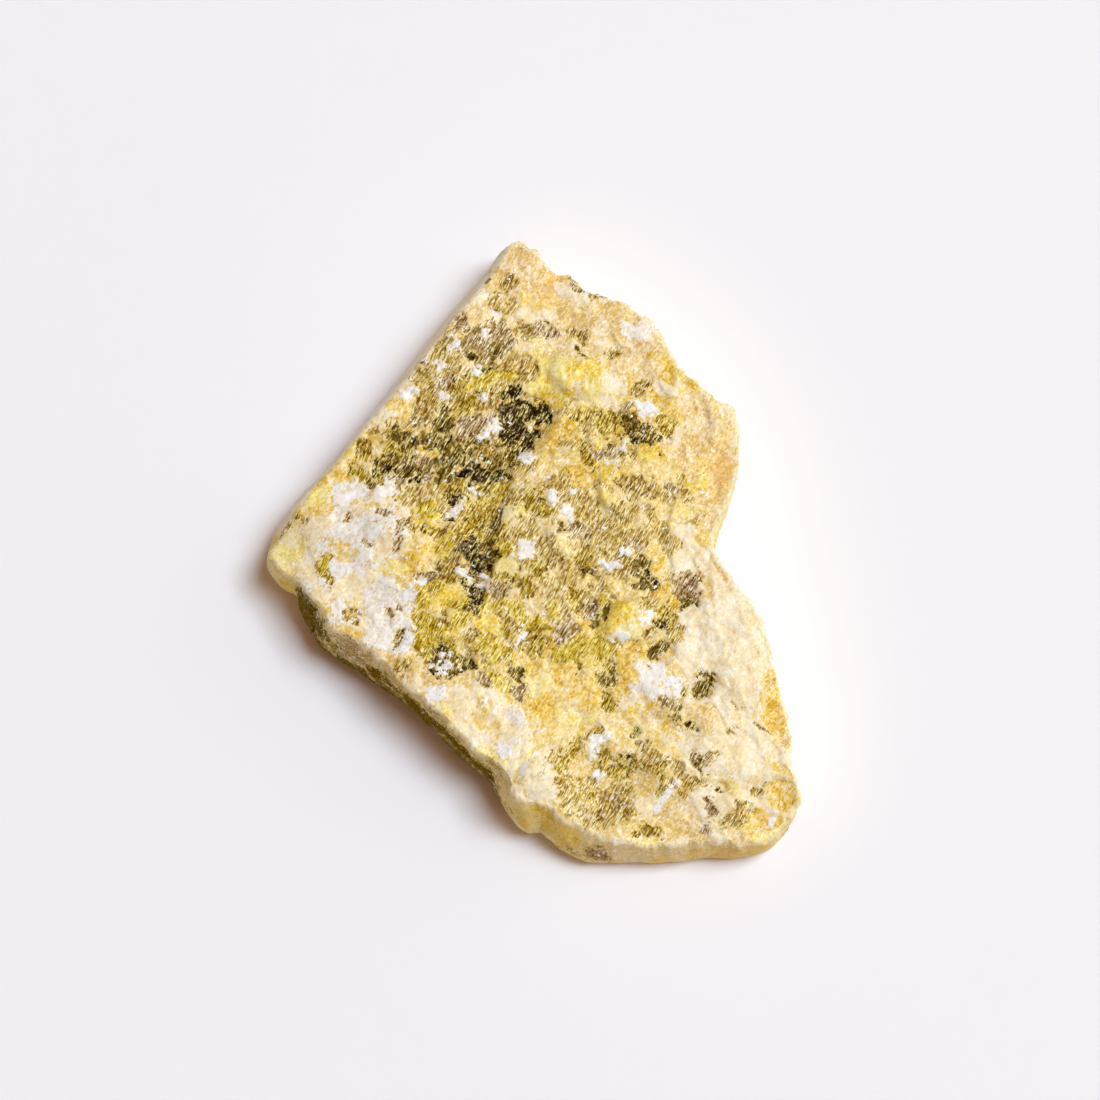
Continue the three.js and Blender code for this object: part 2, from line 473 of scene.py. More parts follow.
SHADES = {
    Tint.STRAW: Shades("#dbba5b", "#efd68b", "#f6ead1"),
    Tint.TAN: Shades("#d5b160", "#ecd08f", "#f4e6cd"),
    Tint.CREAM: Shades("#edd59e", "#f4e5be", "#f7f1df", SUGARY, 0.05, 0.4, 0.3),
    Tint.PRIMROSE: Shades("#eacf65", "#f4e28d", "#f7eecb", SUGARY, 0.05),
    Tint.LEMON: Shades("#d9b317", "#f2d557", "#f7eaad", SUGARY, 0.06),
    Tint.GREEN: Shades("#896700", "#dbbe1a", "#f6e696", NEEDLED, 0.04, 0.3, 0.6),
    Tint.HONEY: Shades("#c89a11", "#edc854", "#f7e6b3", SUGARY),
    Tint.GOLD: Shades("#7b5901", "#d5b554", "#f7eaba", NEEDLED, 0, 0.3, 0.6),
    Tint.ORANGE: Shades("#dfa942", "#eec775", "#f4dba7"),
    Tint.BROWN: Shades("#674501", "#cdaa47", "#f7e8b3", NEEDLED, -0.04, 0.3, 0.8),
    Tint.MAUVE: Shades("#542e09", "#b69252", "#f6eacb", NEEDLED, 0, 0.32, 0.8),
    Tint.OLIVE: Shades("#573400", "#be9b13", "#f6e68f", NEEDLED, -0.05, 0.26, 0.8),
    Tint.MILKY: Shades("#e1d3b8", "#f4ecde", "#f7f7f3", SUGARY, 0.06, 0.4),
    Tint.MOSS: Shades("#341c02", "#735b0e", "#b39e52", NEEDLED, 0, 0.32, 0.8),
    Tint.GREY: Shades("#674508", "#ba9b57", "#f6eacb", NEEDLED, -0.04, 0.3, 0.8),
    Tint.SMOKY: Shades("#1b0f00", "#917011", "#f7eaa3", GLASSY, -0.1, 0.22, 1.0),
    Tint.DEEP: Shades("#090400", "#472801", "#f7e88f", GLASSY, -0.16, 0.18, 1.0),
    # white grains and painted highlights, and the colour of the painted glint specks
    Tint.WHITE: Shades("#dbd0ba", "#f7f5f2", "#f7f7f7", SUGARY, 0.08, 0.35, 0.5),
}


# crystal blocks have flatter sides and sharper corners than an ellipse
PATCH_BLUNTNESS = 2.8


@dataclass(frozen=True)
class Patch:
    """A blunt ellipse of one tint on the top."""

    x: float
    y: float
    half_length: float
    half_width: float
    turn: float
    tint: Tint

    def inside(self, x: np.ndarray, y: np.ndarray) -> np.ndarray:
        """Distance in from the outline at each place, negative outside.

        Args:
            x: places along X.
            y: places along Y.

        Returns:
            Distances in millimetres.
        """
        reach = np.maximum(ellipse_reach(self, x, y, PATCH_BLUNTNESS), 1e-6)
        radius = np.hypot(x - self.x, y - self.y) / reach
        return (1 - reach) * np.clip(radius, self.half_width, self.half_length)


@dataclass(frozen=True)
class Zone:
    """A stretch of the stone where the grains between the patches come in one mixture of tints."""

    x: float
    y: float
    half_length: float
    half_width: float
    turn: float
    mixture: tuple[tuple[Tint, float], ...]
    # how far below the rim the zone starts and ends; the top has a depth of 0
    depths: tuple[float, float] = (-1.0, 0.5)

    def holds(self, x: np.ndarray, y: np.ndarray, depth: np.ndarray) -> np.ndarray:
        """Whether each place lies in the zone.

        Args:
            x: places along X.
            y: places along Y.
            depth: how far below the rim the places are.

        Returns:
            True or False for each place.
        """
        return (ellipse_reach(self, x, y) < 1) & (depth >= self.depths[0]) & (depth < self.depths[1])


ZONES = (
    # the rest of the sides and the underside, and the rest of the top
    Zone(0, 0, 99, 99, 0,
         ((Tint.STRAW, 0.3), (Tint.TAN, 0.3), (Tint.OLIVE, 0.15), (Tint.BROWN, 0.25)), (0.5, 9)),
    Zone(0, 0, 99, 99, 0, ((Tint.STRAW, 0.5), (Tint.TAN, 0.25), (Tint.CREAM, 0.15), (Tint.HONEY, 0.1))),
    # the smooth cleaved wall: pale in its own colour, and painted paler still as painted light, since it
    # faces away from the lamps
    Zone(-9.4, 9.5, 15, 2.4, 53, ((Tint.MILKY, 0.4), (Tint.CREAM, 0.6)), (0.2, 9)),
    # the pale sugary side on the right
    Zone(15.2, -5.0, 13.0, 2.4, -80,
         ((Tint.CREAM, 0.4), (Tint.PRIMROSE, 0.35), (Tint.STRAW, 0.25)), (0.15, 9)),
    # the wall round the left tip, the honey face under it and the mossy recess beside it
    Zone(-17.0, -1.6, 2.4, 2.2, 0, ((Tint.STRAW, 0.6), (Tint.HONEY, 0.4)), (0.2, 9)),
    Zone(-15.8, -3.3, 1.4, 0.9, 0, ((Tint.OLIVE, 0.5), (Tint.HONEY, 0.5)), (0.2, 9)),
    Zone(-13.9, -5.0, 1.5, 2.2, 30, ((Tint.MOSS, 1),), (0.2, 9)),
    # the broken wall along the lower left, which faces away from the light: its tints get darker towards its
    # foot as painted shade
    Zone(-7.4, -11.4, 8.6, 2.2, -43, ((Tint.GOLD, 0.2), (Tint.BROWN, 0.5), (Tint.GREY, 0.3)), (0.3, 1.6)),
    Zone(-7.4, -11.4, 8.6, 2.2, -43, ((Tint.SMOKY, 0.7), (Tint.GREY, 0.3)), (1.6, 3.0)),
    Zone(-7.4, -11.4, 9.6, 2.6, -43, ((Tint.SMOKY, 0.5), (Tint.MOSS, 0.5)), (3.0, 9)),
    # the bench, the short lower side and the crumbled side at the back
    Zone(1.8, -19.2, 4.0, 1.8, -30, ((Tint.HONEY, 0.6), (Tint.STRAW, 0.2), (Tint.OLIVE, 0.2)), (0.2, 3.5)),
    Zone(11.0, -20.8, 7.6, 1.5, 0, ((Tint.TAN, 0.4), (Tint.ORANGE, 0.35), (Tint.MAUVE, 0.25)), (0.2, 9)),
    Zone(7.5, 14.8, 8.4, 2.2, -42, ((Tint.TAN, 0.5), (Tint.CREAM, 0.3), (Tint.GREY, 0.2)), (0.2, 9)),
    # along the cleaved side
    Zone(-5.2, 12.2, 5.7, 1.7, 52, ((Tint.TAN, 0.35), (Tint.GOLD, 0.35), (Tint.MAUVE, 0.3))),
    # the upper tip
    Zone(-0.4, 18.1, 2.3, 1.9, 40, ((Tint.TAN, 0.9), (Tint.GOLD, 0.1))),
    # the sugary upper right
    Zone(5.6, 13.2, 5.2, 3.5, -35, ((Tint.TAN, 0.6), (Tint.STRAW, 0.25), (Tint.CREAM, 0.15))),
    Zone(9.0, 9.0, 4.1, 3.1, -50, ((Tint.TAN, 0.5), (Tint.HONEY, 0.3), (Tint.PRIMROSE, 0.2))),
    Zone(11.3, 5.9, 3.5, 2.5, -80, ((Tint.TAN, 0.6), (Tint.HONEY, 0.15), (Tint.ORANGE, 0.25))),
    Zone(8.3, 2.1, 3.6, 2.8, -40, ((Tint.GOLD, 0.35), (Tint.STRAW, 0.35), (Tint.TAN, 0.3))),
    Zone(3.3, 10.8, 2.9, 1.5, -10, ((Tint.PRIMROSE, 0.5), (Tint.STRAW, 0.3), (Tint.LEMON, 0.2))),
    # the dark band through the middle
    Zone(-4.1, 6.3, 7.9, 4.1, 40, ((Tint.BROWN, 0.45), (Tint.GOLD, 0.3), (Tint.OLIVE, 0.25))),
    Zone(-4.5, 5.0, 4.7, 2.3, 20, ((Tint.SMOKY, 0.8), (Tint.MAUVE, 0.2))),
    Zone(-3.1, -0.6, 5.3, 2.7, 80, ((Tint.OLIVE, 0.45), (Tint.SMOKY, 0.3), (Tint.BROWN, 0.25))),
    Zone(3.9, 6.3, 3.6, 3.1, -20,
         ((Tint.GREEN, 0.3), (Tint.HONEY, 0.3), (Tint.GOLD, 0.2), (Tint.LEMON, 0.2))),
    Zone(3.9, -0.9, 6.1, 4.1, -40, ((Tint.GOLD, 0.75), (Tint.STRAW, 0.15), (Tint.BROWN, 0.1))),
    Zone(3.9, -6.7, 4.1, 2.9, 0, ((Tint.GREEN, 0.35), (Tint.HONEY, 0.45), (Tint.GOLD, 0.2))),
    Zone(-5.4, -6.0, 4.4, 2.9, 10,
         ((Tint.GREEN, 0.5), (Tint.LEMON, 0.2), (Tint.PRIMROSE, 0.15), (Tint.OLIVE, 0.15))),
    Zone(-1.4, -7.4, 2.9, 2.3, 20, ((Tint.GREEN, 0.5), (Tint.GOLD, 0.25), (Tint.OLIVE, 0.25))),
    Zone(-7.1, 1.5, 2.7, 2.0, 0, ((Tint.GOLD, 0.8), (Tint.STRAW, 0.2))),
    # the milky left
    Zone(-12.0, -1.3, 4.8, 3.3, 30,
         ((Tint.CREAM, 0.35), (Tint.MILKY, 0.4), (Tint.PRIMROSE, 0.15), (Tint.WHITE, 0.1))),
    Zone(-13.3, 3.6, 2.9, 0.9, 54, ((Tint.HONEY, 0.4), (Tint.PRIMROSE, 0.6))),
    Zone(-10.3, -5.3, 3.3, 2.3, -40, ((Tint.MILKY, 0.55), (Tint.CREAM, 0.45))),
    Zone(-16.4, -1.4, 1.5, 1.6, 0, ((Tint.STRAW, 0.5), (Tint.PRIMROSE, 0.5))),
    # the pale strip along the lower left rim
    Zone(-6.7, -10.7, 3.5, 1.6, -38, ((Tint.TAN, 0.5), (Tint.CREAM, 0.25), (Tint.STRAW, 0.25))),
    Zone(-0.7, -14.3, 6.1, 2.7, -40, ((Tint.STRAW, 0.25), (Tint.CREAM, 0.35), (Tint.PRIMROSE, 0.4))),
    Zone(1.9, -11.0, 4.4, 2.1, -10, ((Tint.STRAW, 0.3), (Tint.HONEY, 0.35), (Tint.PRIMROSE, 0.35))),
    Zone(5.9, -10.7, 2.9, 2.3, 0, ((Tint.HONEY, 0.4), (Tint.PRIMROSE, 0.3), (Tint.CREAM, 0.3))),
    # the pale plateau
    Zone(13.3, -7.4, 7.3, 3.3, -66, ((Tint.CREAM, 0.85), (Tint.STRAW, 0.15))),
    # the thin lower end, its greenish sheet and its honey corner
    Zone(6.2, -16.3, 5.6, 3.5, -12, ((Tint.GOLD, 0.6), (Tint.OLIVE, 0.15), (Tint.STRAW, 0.25))),
    Zone(14.0, -15.7, 4.4, 2.4, -8, ((Tint.CREAM, 0.92), (Tint.PRIMROSE, 0.08))),
    Zone(10.4, -19.0, 4.1, 2.3, -5, ((Tint.STRAW, 0.25), (Tint.TAN, 0.35), (Tint.CREAM, 0.4))),
    Zone(16.0, -18.0, 2.3, 2.0, 50, ((Tint.HONEY, 0.75), (Tint.CREAM, 0.25))),
)

PATCHES = (
    # the upper tip and the cleaved side below it
    Patch(-3.1, 17.6, 0.3, 0.1, 60, Tint.MOSS),
    Patch(-1.5, 17.2, 0.8, 0.5, 40, Tint.BROWN),
    Patch(1.6, 17.0, 1.6, 0.8, 75, Tint.ORANGE),
    Patch(2.9, 16.6, 1.3, 0.6, -30, Tint.CREAM),
    Patch(3.1, 17.4, 0.6, 0.3, -40, Tint.MAUVE),
    Patch(4.0, 16.7, 0.5, 0.3, -40, Tint.MAUVE),
    Patch(5.1, 16.5, 0.7, 0.3, 0, Tint.MAUVE),
    Patch(-1.4, 15.5, 0.8, 0.6, 30, Tint.BROWN),
    Patch(-2.7, 12.9, 1.9, 1.3, 25, Tint.GREY),
    Patch(-3.0, 11.3, 0.7, 0.2, 12, Tint.SMOKY),
    Patch(-3.9, 12.2, 0.5, 0.5, 50, Tint.SMOKY),
    Patch(-1.9, 12.9, 0.5, 0.4, 40, Tint.SMOKY),
    Patch(-4.8, 12.9, 0.4, 0.5, 0, Tint.WHITE),
    Patch(-3.6, 11.1, 0.5, 0.3, 60, Tint.WHITE),
    Patch(-2.3, 14.9, 0.2, 0.3, 60, Tint.WHITE),
    Patch(-3.0, 13.6, 0.3, 0.3, 0, Tint.WHITE),
    Patch(-6.3, 11.1, 1.2, 0.5, 52, Tint.GOLD),
    Patch(-5.9, 11.4, 0.5, 0.3, 50, Tint.WHITE),
    Patch(-8.0, 9.6, 0.6, 0.3, 50, Tint.WHITE),
    Patch(-5.6, 10.1, 0.8, 0.5, 30, Tint.MAUVE),
    Patch(-5.7, 9.4, 0.3, 0.2, 0, Tint.WHITE),
    Patch(-6.4, 9.0, 1.3, 0.5, 20, Tint.BROWN),
    Patch(-8.6, 8.3, 0.7, 0.9, 40, Tint.HONEY),
    Patch(-9.4, 7.6, 0.9, 0.4, 40, Tint.CREAM),
    Patch(-3.4, 16.0, 0.9, 0.4, 45, Tint.CREAM),
    Patch(-5.0, 15.2, 1.6, 0.4, 50, Tint.TAN),
    # the sugary upper right
    Patch(0.0, 13.9, 0.9, 0.6, -10, Tint.BROWN),
    Patch(1.3, 14.0, 0.4, 0.7, 80, Tint.MAUVE),
    Patch(1.5, 14.5, 0.1, 0.4, 80, Tint.SMOKY),
    Patch(3.3, 13.7, 0.8, 0.4, -10, Tint.BROWN),
    Patch(3.8, 12.2, 0.5, 0.2, -45, Tint.SMOKY),
    Patch(1.6, 12.4, 1.7, 0.8, -20, Tint.STRAW),
    Patch(3.9, 11.1, 1.1, 0.7, 0, Tint.LEMON),
    Patch(4.3, 9.9, 0.9, 0.7, 0, Tint.PRIMROSE),
    Patch(7.3, 11.8, 1.7, 1.3, -35, Tint.TAN),
    Patch(5.8, 12.4, 0.5, 0.8, -60, Tint.BROWN),
    Patch(8.9, 12.0, 0.7, 0.4, -20, Tint.HONEY),
    Patch(8.0, 14.3, 0.9, 0.7, -40, Tint.CREAM),
    Patch(7.5, 9.7, 0.6, 0.5, 50, Tint.BROWN),
    Patch(-2.6, 10.6, 1.7, 0.5, 15, Tint.GREEN),
    Patch(1.1, 10.0, 0.8, 0.6, -30, Tint.LEMON),
    Patch(1.8, 11.3, 1.1, 0.9, 0, Tint.PRIMROSE),
    Patch(1.9, 9.9, 0.9, 0.6, 20, Tint.PRIMROSE),
    Patch(0.6, 1.8, 1.1, 0.7, -30, Tint.OLIVE),
    Patch(-0.0, 10.0, 0.7, 0.3, -30, Tint.PRIMROSE),
    Patch(2.2, 9.0, 0.5, 0.9, -75, Tint.LEMON),
    Patch(2.7, 7.3, 0.7, 0.9, -60, Tint.HONEY),
    Patch(5.4, 9.2, 0.7, 0.5, 0, Tint.CREAM),
    Patch(3.9, 8.1, 0.5, 0.8, -60, Tint.OLIVE),
    Patch(9.2, 7.4, 0.9, 0.6, -50, Tint.OLIVE),
    Patch(7.3, 14.2, 0.9, 0.5, -30, Tint.MILKY),
    Patch(9.2, 10.0, 0.9, 0.6, -30, Tint.CREAM),
    Patch(5.3, 7.6, 0.7, 0.7, 40, Tint.OLIVE),
    Patch(6.9, 7.3, 0.6, 1.1, 50, Tint.SMOKY),
    Patch(7.7, 7.0, 1.1, 0.7, -40, Tint.SMOKY),
    Patch(6.1, 5.4, 1.1, 0.6, 10, Tint.OLIVE),
    Patch(7.8, 5.1, 0.7, 0.5, 0, Tint.LEMON),
    Patch(7.3, 6.5, 0.4, 0.3, 0, Tint.DEEP),
    Patch(6.8, 8.5, 0.4, 0.5, -60, Tint.GREY),
    Patch(7.8, 8.5, 0.7, 0.3, -20, Tint.WHITE),
    Patch(6.1, 6.5, 0.5, 0.1, 10, Tint.SMOKY),
    Patch(5.7, 5.6, 1.1, 0.5, 10, Tint.GREY),
    Patch(5.7, 4.7, 0.4, 0.3, 30, Tint.WHITE),
    Patch(6.4, 5.9, 0.3, 0.3, 0, Tint.WHITE),
    Patch(3.9, 4.6, 0.4, 1.4, -8, Tint.OLIVE),
    Patch(3.4, 4.1, 0.5, 0.8, 0, Tint.HONEY),
    Patch(8.6, 5.4, 1.1, 0.5, -45, Tint.HONEY),
    Patch(9.1, 5.0, 0.6, 0.1, -50, Tint.SMOKY),
    Patch(11.1, 3.4, 0.8, 0.4, -20, Tint.LEMON),
    Patch(13.0, 4.5, 0.6, 1.7, 0, Tint.ORANGE),
    Patch(10.6, 1.8, 0.6, 0.5, 0, Tint.PRIMROSE),
    # the dark valley through the middle
    Patch(-1.0, 9.7, 0.8, 0.4, 20, Tint.DEEP),
    Patch(-3.0, 9.6, 0.4, 0.3, 0, Tint.SMOKY),
    Patch(-2.9, 9.1, 0.4, 0.3, 30, Tint.WHITE),
    Patch(-0.1, 8.4, 2.0, 0.7, 0, Tint.DEEP),
    Patch(-0.9, 6.9, 1.1, 0.9, 40, Tint.DEEP),
    Patch(0.0, 6.2, 0.9, 0.5, 55, Tint.DEEP),
    Patch(-0.0, 5.4, 0.5, 0.5, 40, Tint.WHITE),
    Patch(-5.6, 7.9, 0.9, 0.8, 60, Tint.SMOKY),
    Patch(-7.1, 8.0, 0.9, 0.7, 30, Tint.BROWN),
    Patch(-3.4, 7.1, 1.6, 0.8, 15, Tint.MAUVE),
    Patch(-2.2, 7.4, 0.5, 0.3, 30, Tint.WHITE),
    Patch(-3.0, 6.5, 0.4, 0.3, 50, Tint.WHITE),
    Patch(-4.1, 8.5, 1.1, 0.6, 20, Tint.OLIVE),
    Patch(-2.6, 5.4, 1.3, 0.5, 0, Tint.BROWN),
    Patch(-8.5, 6.2, 1.1, 0.6, -25, Tint.SMOKY),
    Patch(-9.5, 4.5, 1.0, 0.6, 20, Tint.SMOKY),
    Patch(-7.6, 4.5, 1.5, 0.8, 12, Tint.SMOKY),
    Patch(-6.9, 4.7, 0.7, 0.5, 30, Tint.MAUVE),
    Patch(-9.3, 4.4, 0.5, 0.3, 40, Tint.DEEP),
    Patch(-7.3, 3.7, 0.6, 0.3, 50, Tint.DEEP),
    Patch(-6.4, 5.4, 0.8, 0.3, -5, Tint.HONEY),
    Patch(-5.0, 5.5, 0.7, 0.7, 0, Tint.SMOKY),
    Patch(-5.3, 5.0, 0.4, 0.3, 0, Tint.DEEP),
    Patch(-4.1, 5.6, 0.3, 0.2, 0, Tint.DEEP),
    Patch(-1.8, 5.2, 1.3, 0.7, 50, Tint.SMOKY),
    Patch(-3.0, 3.9, 1.6, 0.6, -8, Tint.DEEP),
    Patch(-3.7, 3.0, 0.3, 0.6, -20, Tint.DEEP),
    Patch(-3.7, 2.8, 0.2, 0.2, 0, Tint.WHITE),
    Patch(-4.8, 3.0, 0.9, 0.7, 10, Tint.OLIVE),
    Patch(-4.8, 2.1, 0.5, 0.2, 0, Tint.DEEP),
    Patch(-4.6, 1.5, 0.8, 0.3, 52, Tint.WHITE),
    Patch(-1.9, 2.8, 0.5, 0.3, 40, Tint.GREEN),
    Patch(-3.7, 0.3, 1.1, 0.5, 20, Tint.OLIVE),
    Patch(-2.1, 0.8, 0.9, 0.5, 40, Tint.SMOKY),
    Patch(-3.5, -1.1, 0.8, 0.9, 60, Tint.DEEP),
    Patch(-2.9, -2.3, 0.8, 0.5, -40, Tint.DEEP),
    Patch(-2.5, -1.1, 0.8, 0.8, 0, Tint.SMOKY),
    Patch(-1.7, -1.1, 0.5, 0.6, 40, Tint.GREEN),
    Patch(-5.4, -0.9, 0.7, 0.7, 50, Tint.GREEN),
    Patch(-6.7, 0.9, 1.0, 0.7, -20, Tint.LEMON),
    Patch(7.7, -16.4, 0.9, 0.6, 0, Tint.STRAW),
    Patch(10.6, -0.3, 0.9, 0.6, -50, Tint.CREAM),
    Patch(-2.3, -6.5, 0.6, 0.5, 0, Tint.LEMON),
    Patch(1.6, -2.1, 0.8, 0.6, 0, Tint.BROWN),
    Patch(-2.4, 3.6, 0.9, 0.5, -20, Tint.DEEP),
    Patch(-3.2, 5.7, 1.2, 0.7, -10, Tint.SMOKY),
    Patch(7.9, -6.1, 1.2, 0.7, 50, Tint.HONEY),
    Patch(9.6, -6.8, 0.7, 0.5, 60, Tint.GOLD),
    Patch(7.5, -12.2, 0.9, 0.6, 0, Tint.LEMON),
    Patch(9.4, 8.1, 1.0, 0.6, -40, Tint.HONEY),
    Patch(-12.0, 4.2, 1.3, 0.5, 50, Tint.HONEY),
    Patch(-5.3, 0.6, 0.3, 0.2, 0, Tint.DEEP),
    Patch(-6.1, -2.0, 0.3, 0.3, 0, Tint.SMOKY),
    Patch(-0.9, 1.4, 0.5, 0.7, -75, Tint.PRIMROSE),
    # the middle, east of the valley
    Patch(1.7, 2.2, 0.3, 0.5, 30, Tint.WHITE),
    Patch(0.9, 1.5, 0.7, 0.7, 40, Tint.OLIVE),
    Patch(3.8, 3.5, 0.8, 0.5, 0, Tint.HONEY),
    Patch(2.7, 1.3, 0.3, 0.3, 0, Tint.WHITE),
    Patch(2.9, 2.9, 0.2, 0.2, 0, Tint.WHITE),
    Patch(1.2, 3.0, 0.3, 0.2, 0, Tint.SMOKY),
    Patch(1.0, 2.1, 0.3, 0.2, 0, Tint.SMOKY),
    Patch(1.6, 4.5, 1.1, 0.8, 40, Tint.STRAW),
    Patch(5.2, 2.2, 0.7, 1.1, 35, Tint.PRIMROSE),
    Patch(7.5, 3.1, 1.7, 0.8, -15, Tint.BROWN),
    Patch(9.7, 3.0, 0.5, 0.6, 0, Tint.GREY),
    Patch(6.5, 1.7, 0.9, 0.5, 40, Tint.BROWN),
    Patch(2.2, 0.2, 0.3, 0.5, 0, Tint.SMOKY),
    Patch(3.4, 0.2, 0.9, 0.7, -20, Tint.GREY),
    Patch(2.4, -1.2, 0.8, 0.4, -50, Tint.PRIMROSE),
    Patch(-0.3, -1.3, 0.7, 0.7, 0, Tint.MILKY),
    Patch(-1.3, -2.3, 0.7, 0.6, 0, Tint.PRIMROSE),
    Patch(0.9, -2.4, 0.9, 0.5, 0, Tint.OLIVE),
    Patch(3.9, -1.7, 0.7, 0.7, 60, Tint.OLIVE),
    Patch(4.0, -2.4, 0.3, 0.4, 60, Tint.SMOKY),
    Patch(6.4, -1.0, 0.5, 0.3, 20, Tint.WHITE),
    Patch(5.6, -2.1, 0.7, 0.4, 10, Tint.WHITE),
    Patch(7.4, -2.2, 0.5, 0.6, -60, Tint.SMOKY),
    Patch(7.7, -3.4, 0.8, 0.5, 30, Tint.SMOKY),
    Patch(8.0, -2.8, 0.3, 0.3, 0, Tint.DEEP),
    Patch(7.0, -0.6, 0.5, 0.4, -30, Tint.GREY),
    Patch(8.5, -1.7, 0.5, 1.0, 20, Tint.HONEY),
    Patch(9.0, -3.6, 0.8, 0.6, 30, Tint.HONEY),
    Patch(10.7, -3.5, 0.8, 1.3, -20, Tint.MAUVE),
    Patch(10.5, -4.8, 0.7, 0.3, 30, Tint.SMOKY),
    Patch(9.0, -5.1, 0.5, 0.4, 0, Tint.OLIVE),
    Patch(9.4, -6.0, 0.5, 0.8, -30, Tint.OLIVE),
    Patch(8.8, -6.2, 0.5, 0.3, 0, Tint.DEEP),
    Patch(7.9, -5.6, 0.5, 0.3, 35, Tint.MILKY),
    Patch(9.9, -6.5, 0.6, 0.6, 0, Tint.BROWN),
    Patch(9.4, -4.7, 0.7, 0.5, 20, Tint.HONEY),
    Patch(5.9, -5.7, 1.3, 1.1, 40, Tint.LEMON),
    Patch(6.7, -6.6, 1.1, 0.5, 10, Tint.PRIMROSE),
    Patch(6.1, -7.1, 0.5, 0.2, -20, Tint.WHITE),
    Patch(7.1, -8.0, 1.1, 0.6, -10, Tint.HONEY),
    Patch(7.9, -6.7, 0.4, 0.5, 0, Tint.BROWN),
    Patch(8.6, -8.0, 0.9, 0.5, 45, Tint.SMOKY),
    Patch(4.9, -5.5, 1.0, 0.3, 60, Tint.SMOKY),
    Patch(4.0, -4.9, 0.5, 0.7, 0, Tint.MAUVE),
    Patch(-0.1, -3.8, 0.5, 0.7, -30, Tint.OLIVE),
    Patch(1.8, -5.2, 0.5, 0.4, 0, Tint.GREEN),
    Patch(2.6, -6.5, 0.8, 0.7, 40, Tint.GREY),
    Patch(0.3, -7.4, 0.7, 0.9, -30, Tint.OLIVE),
    Patch(-0.3, -7.1, 0.7, 0.1, 55, Tint.WHITE),
    Patch(-0.9, -8.0, 0.4, 0.1, 55, Tint.WHITE),
    Patch(-0.7, -9.4, 0.5, 0.4, -45, Tint.SMOKY),
    Patch(3.4, -8.0, 0.4, 0.9, 0, Tint.GREEN),
    Patch(3.9, -8.7, 0.6, 0.5, 0, Tint.LEMON),
    Patch(3.3, -8.9, 0.2, 0.4, 0, Tint.SMOKY),
    Patch(5.3, -9.5, 0.6, 0.9, 10, Tint.OLIVE),
    Patch(5.4, -9.8, 0.3, 0.5, 0, Tint.SMOKY),
    Patch(5.4, -11.5, 0.6, 0.5, -20, Tint.OLIVE),
    Patch(3.6, -10.2, 1.1, 0.9, 60, Tint.HONEY),
    # the milky left part and the low tip
    Patch(-13.4, 3.9, 1.1, 0.5, 54, Tint.HONEY),
    Patch(-14.0, 2.6, 0.9, 0.5, 54, Tint.PRIMROSE),
    Patch(-12.2, 5.4, 0.4, 0.5, 0, Tint.LEMON),
    Patch(-15.0, 1.6, 0.5, 0.3, 50, Tint.HONEY),
    Patch(-14.9, 1.0, 0.5, 0.4, 0, Tint.BROWN),
    Patch(-16.0, 0.8, 1.1, 0.2, 55, Tint.OLIVE),
    Patch(-11.0, 5.4, 0.6, 0.8, 0, Tint.OLIVE),
    Patch(-9.7, 7.0, 0.9, 0.3, 25, Tint.BROWN),
    Patch(-11.4, 3.8, 0.7, 0.4, -30, Tint.OLIVE),
    Patch(-10.5, 3.2, 0.4, 0.3, -20, Tint.SMOKY),
    Patch(-12.0, 2.5, 1.2, 0.7, 20, Tint.MILKY),
    Patch(-9.6, 2.9, 0.9, 0.5, 0, Tint.MILKY),
    Patch(-11.9, 1.3, 0.4, 0.3, 0, Tint.GREY),
    Patch(-10.3, 0.6, 1.2, 0.9, 20, Tint.MILKY),
    Patch(-9.5, 1.1, 0.7, 0.3, -20, Tint.GREY),
    Patch(-10.7, -0.7, 0.3, 0.2, 0, Tint.GREY),
    Patch(-10.0, 2.0, 0.9, 0.3, 0, Tint.STRAW),
    Patch(-8.1, 0.3, 0.3, 0.7, -20, Tint.GREY),
    Patch(-8.7, -0.9, 0.3, 0.5, 0, Tint.GREY),
    Patch(-8.5, -0.8, 0.4, 0.8, -20, Tint.MILKY),
    Patch(-9.5, -1.1, 0.7, 1.1, -30, Tint.CREAM),
    Patch(-6.5, 0.0, 0.5, 0.6, 40, Tint.OLIVE),
    Patch(-6.6, 1.6, 0.8, 0.7, 30, Tint.GREEN),
    Patch(-8.6, 0.6, 0.7, 0.6, 0, Tint.MILKY),
    Patch(-9.0, -2.4, 1.1, 0.5, 0, Tint.PRIMROSE),
    Patch(-13.6, -2.2, 0.6, 0.5, 0, Tint.GREEN),
    Patch(-13.2, -2.9, 0.3, 0.4, 0, Tint.OLIVE),
    Patch(-11.7, -3.6, 1.3, 0.8, 20, Tint.CREAM),
    Patch(-12.0, -1.4, 0.9, 0.5, 0, Tint.STRAW),
    Patch(-8.9, -5.4, 0.4, 0.3, 0, Tint.GREY),
    Patch(-7.8, -4.1, 0.5, 0.5, 0, Tint.WHITE),
    Patch(-9.5, -4.7, 1.3, 1.6, 10, Tint.MILKY),
    Patch(-11.6, -5.7, 0.5, 0.5, 0, Tint.BROWN),
    # the lower left, down to the rim
    Patch(-6.9, -3.1, 0.9, 0.5, 0, Tint.GREY),
    Patch(-7.1, -3.3, 0.3, 0.3, 0, Tint.WHITE),
    Patch(-4.5, -2.7, 0.7, 0.2, -25, Tint.WHITE),
    Patch(-2.9, -3.2, 0.6, 0.2, -10, Tint.WHITE),
    Patch(-2.7, -3.8, 0.2, 0.5, -20, Tint.WHITE),
    Patch(-3.5, -3.8, 1.0, 0.8, -60, Tint.DEEP),
    Patch(-4.6, -6.1, 0.5, 1.0, -60, Tint.GREEN),
    Patch(-2.0, -10.0, 1.3, 0.6, -20, Tint.GREEN),
    Patch(3.4, -4.5, 0.9, 0.7, 0, Tint.OLIVE),
    Patch(-3.7, -5.2, 0.5, 0.4, 30, Tint.SMOKY),
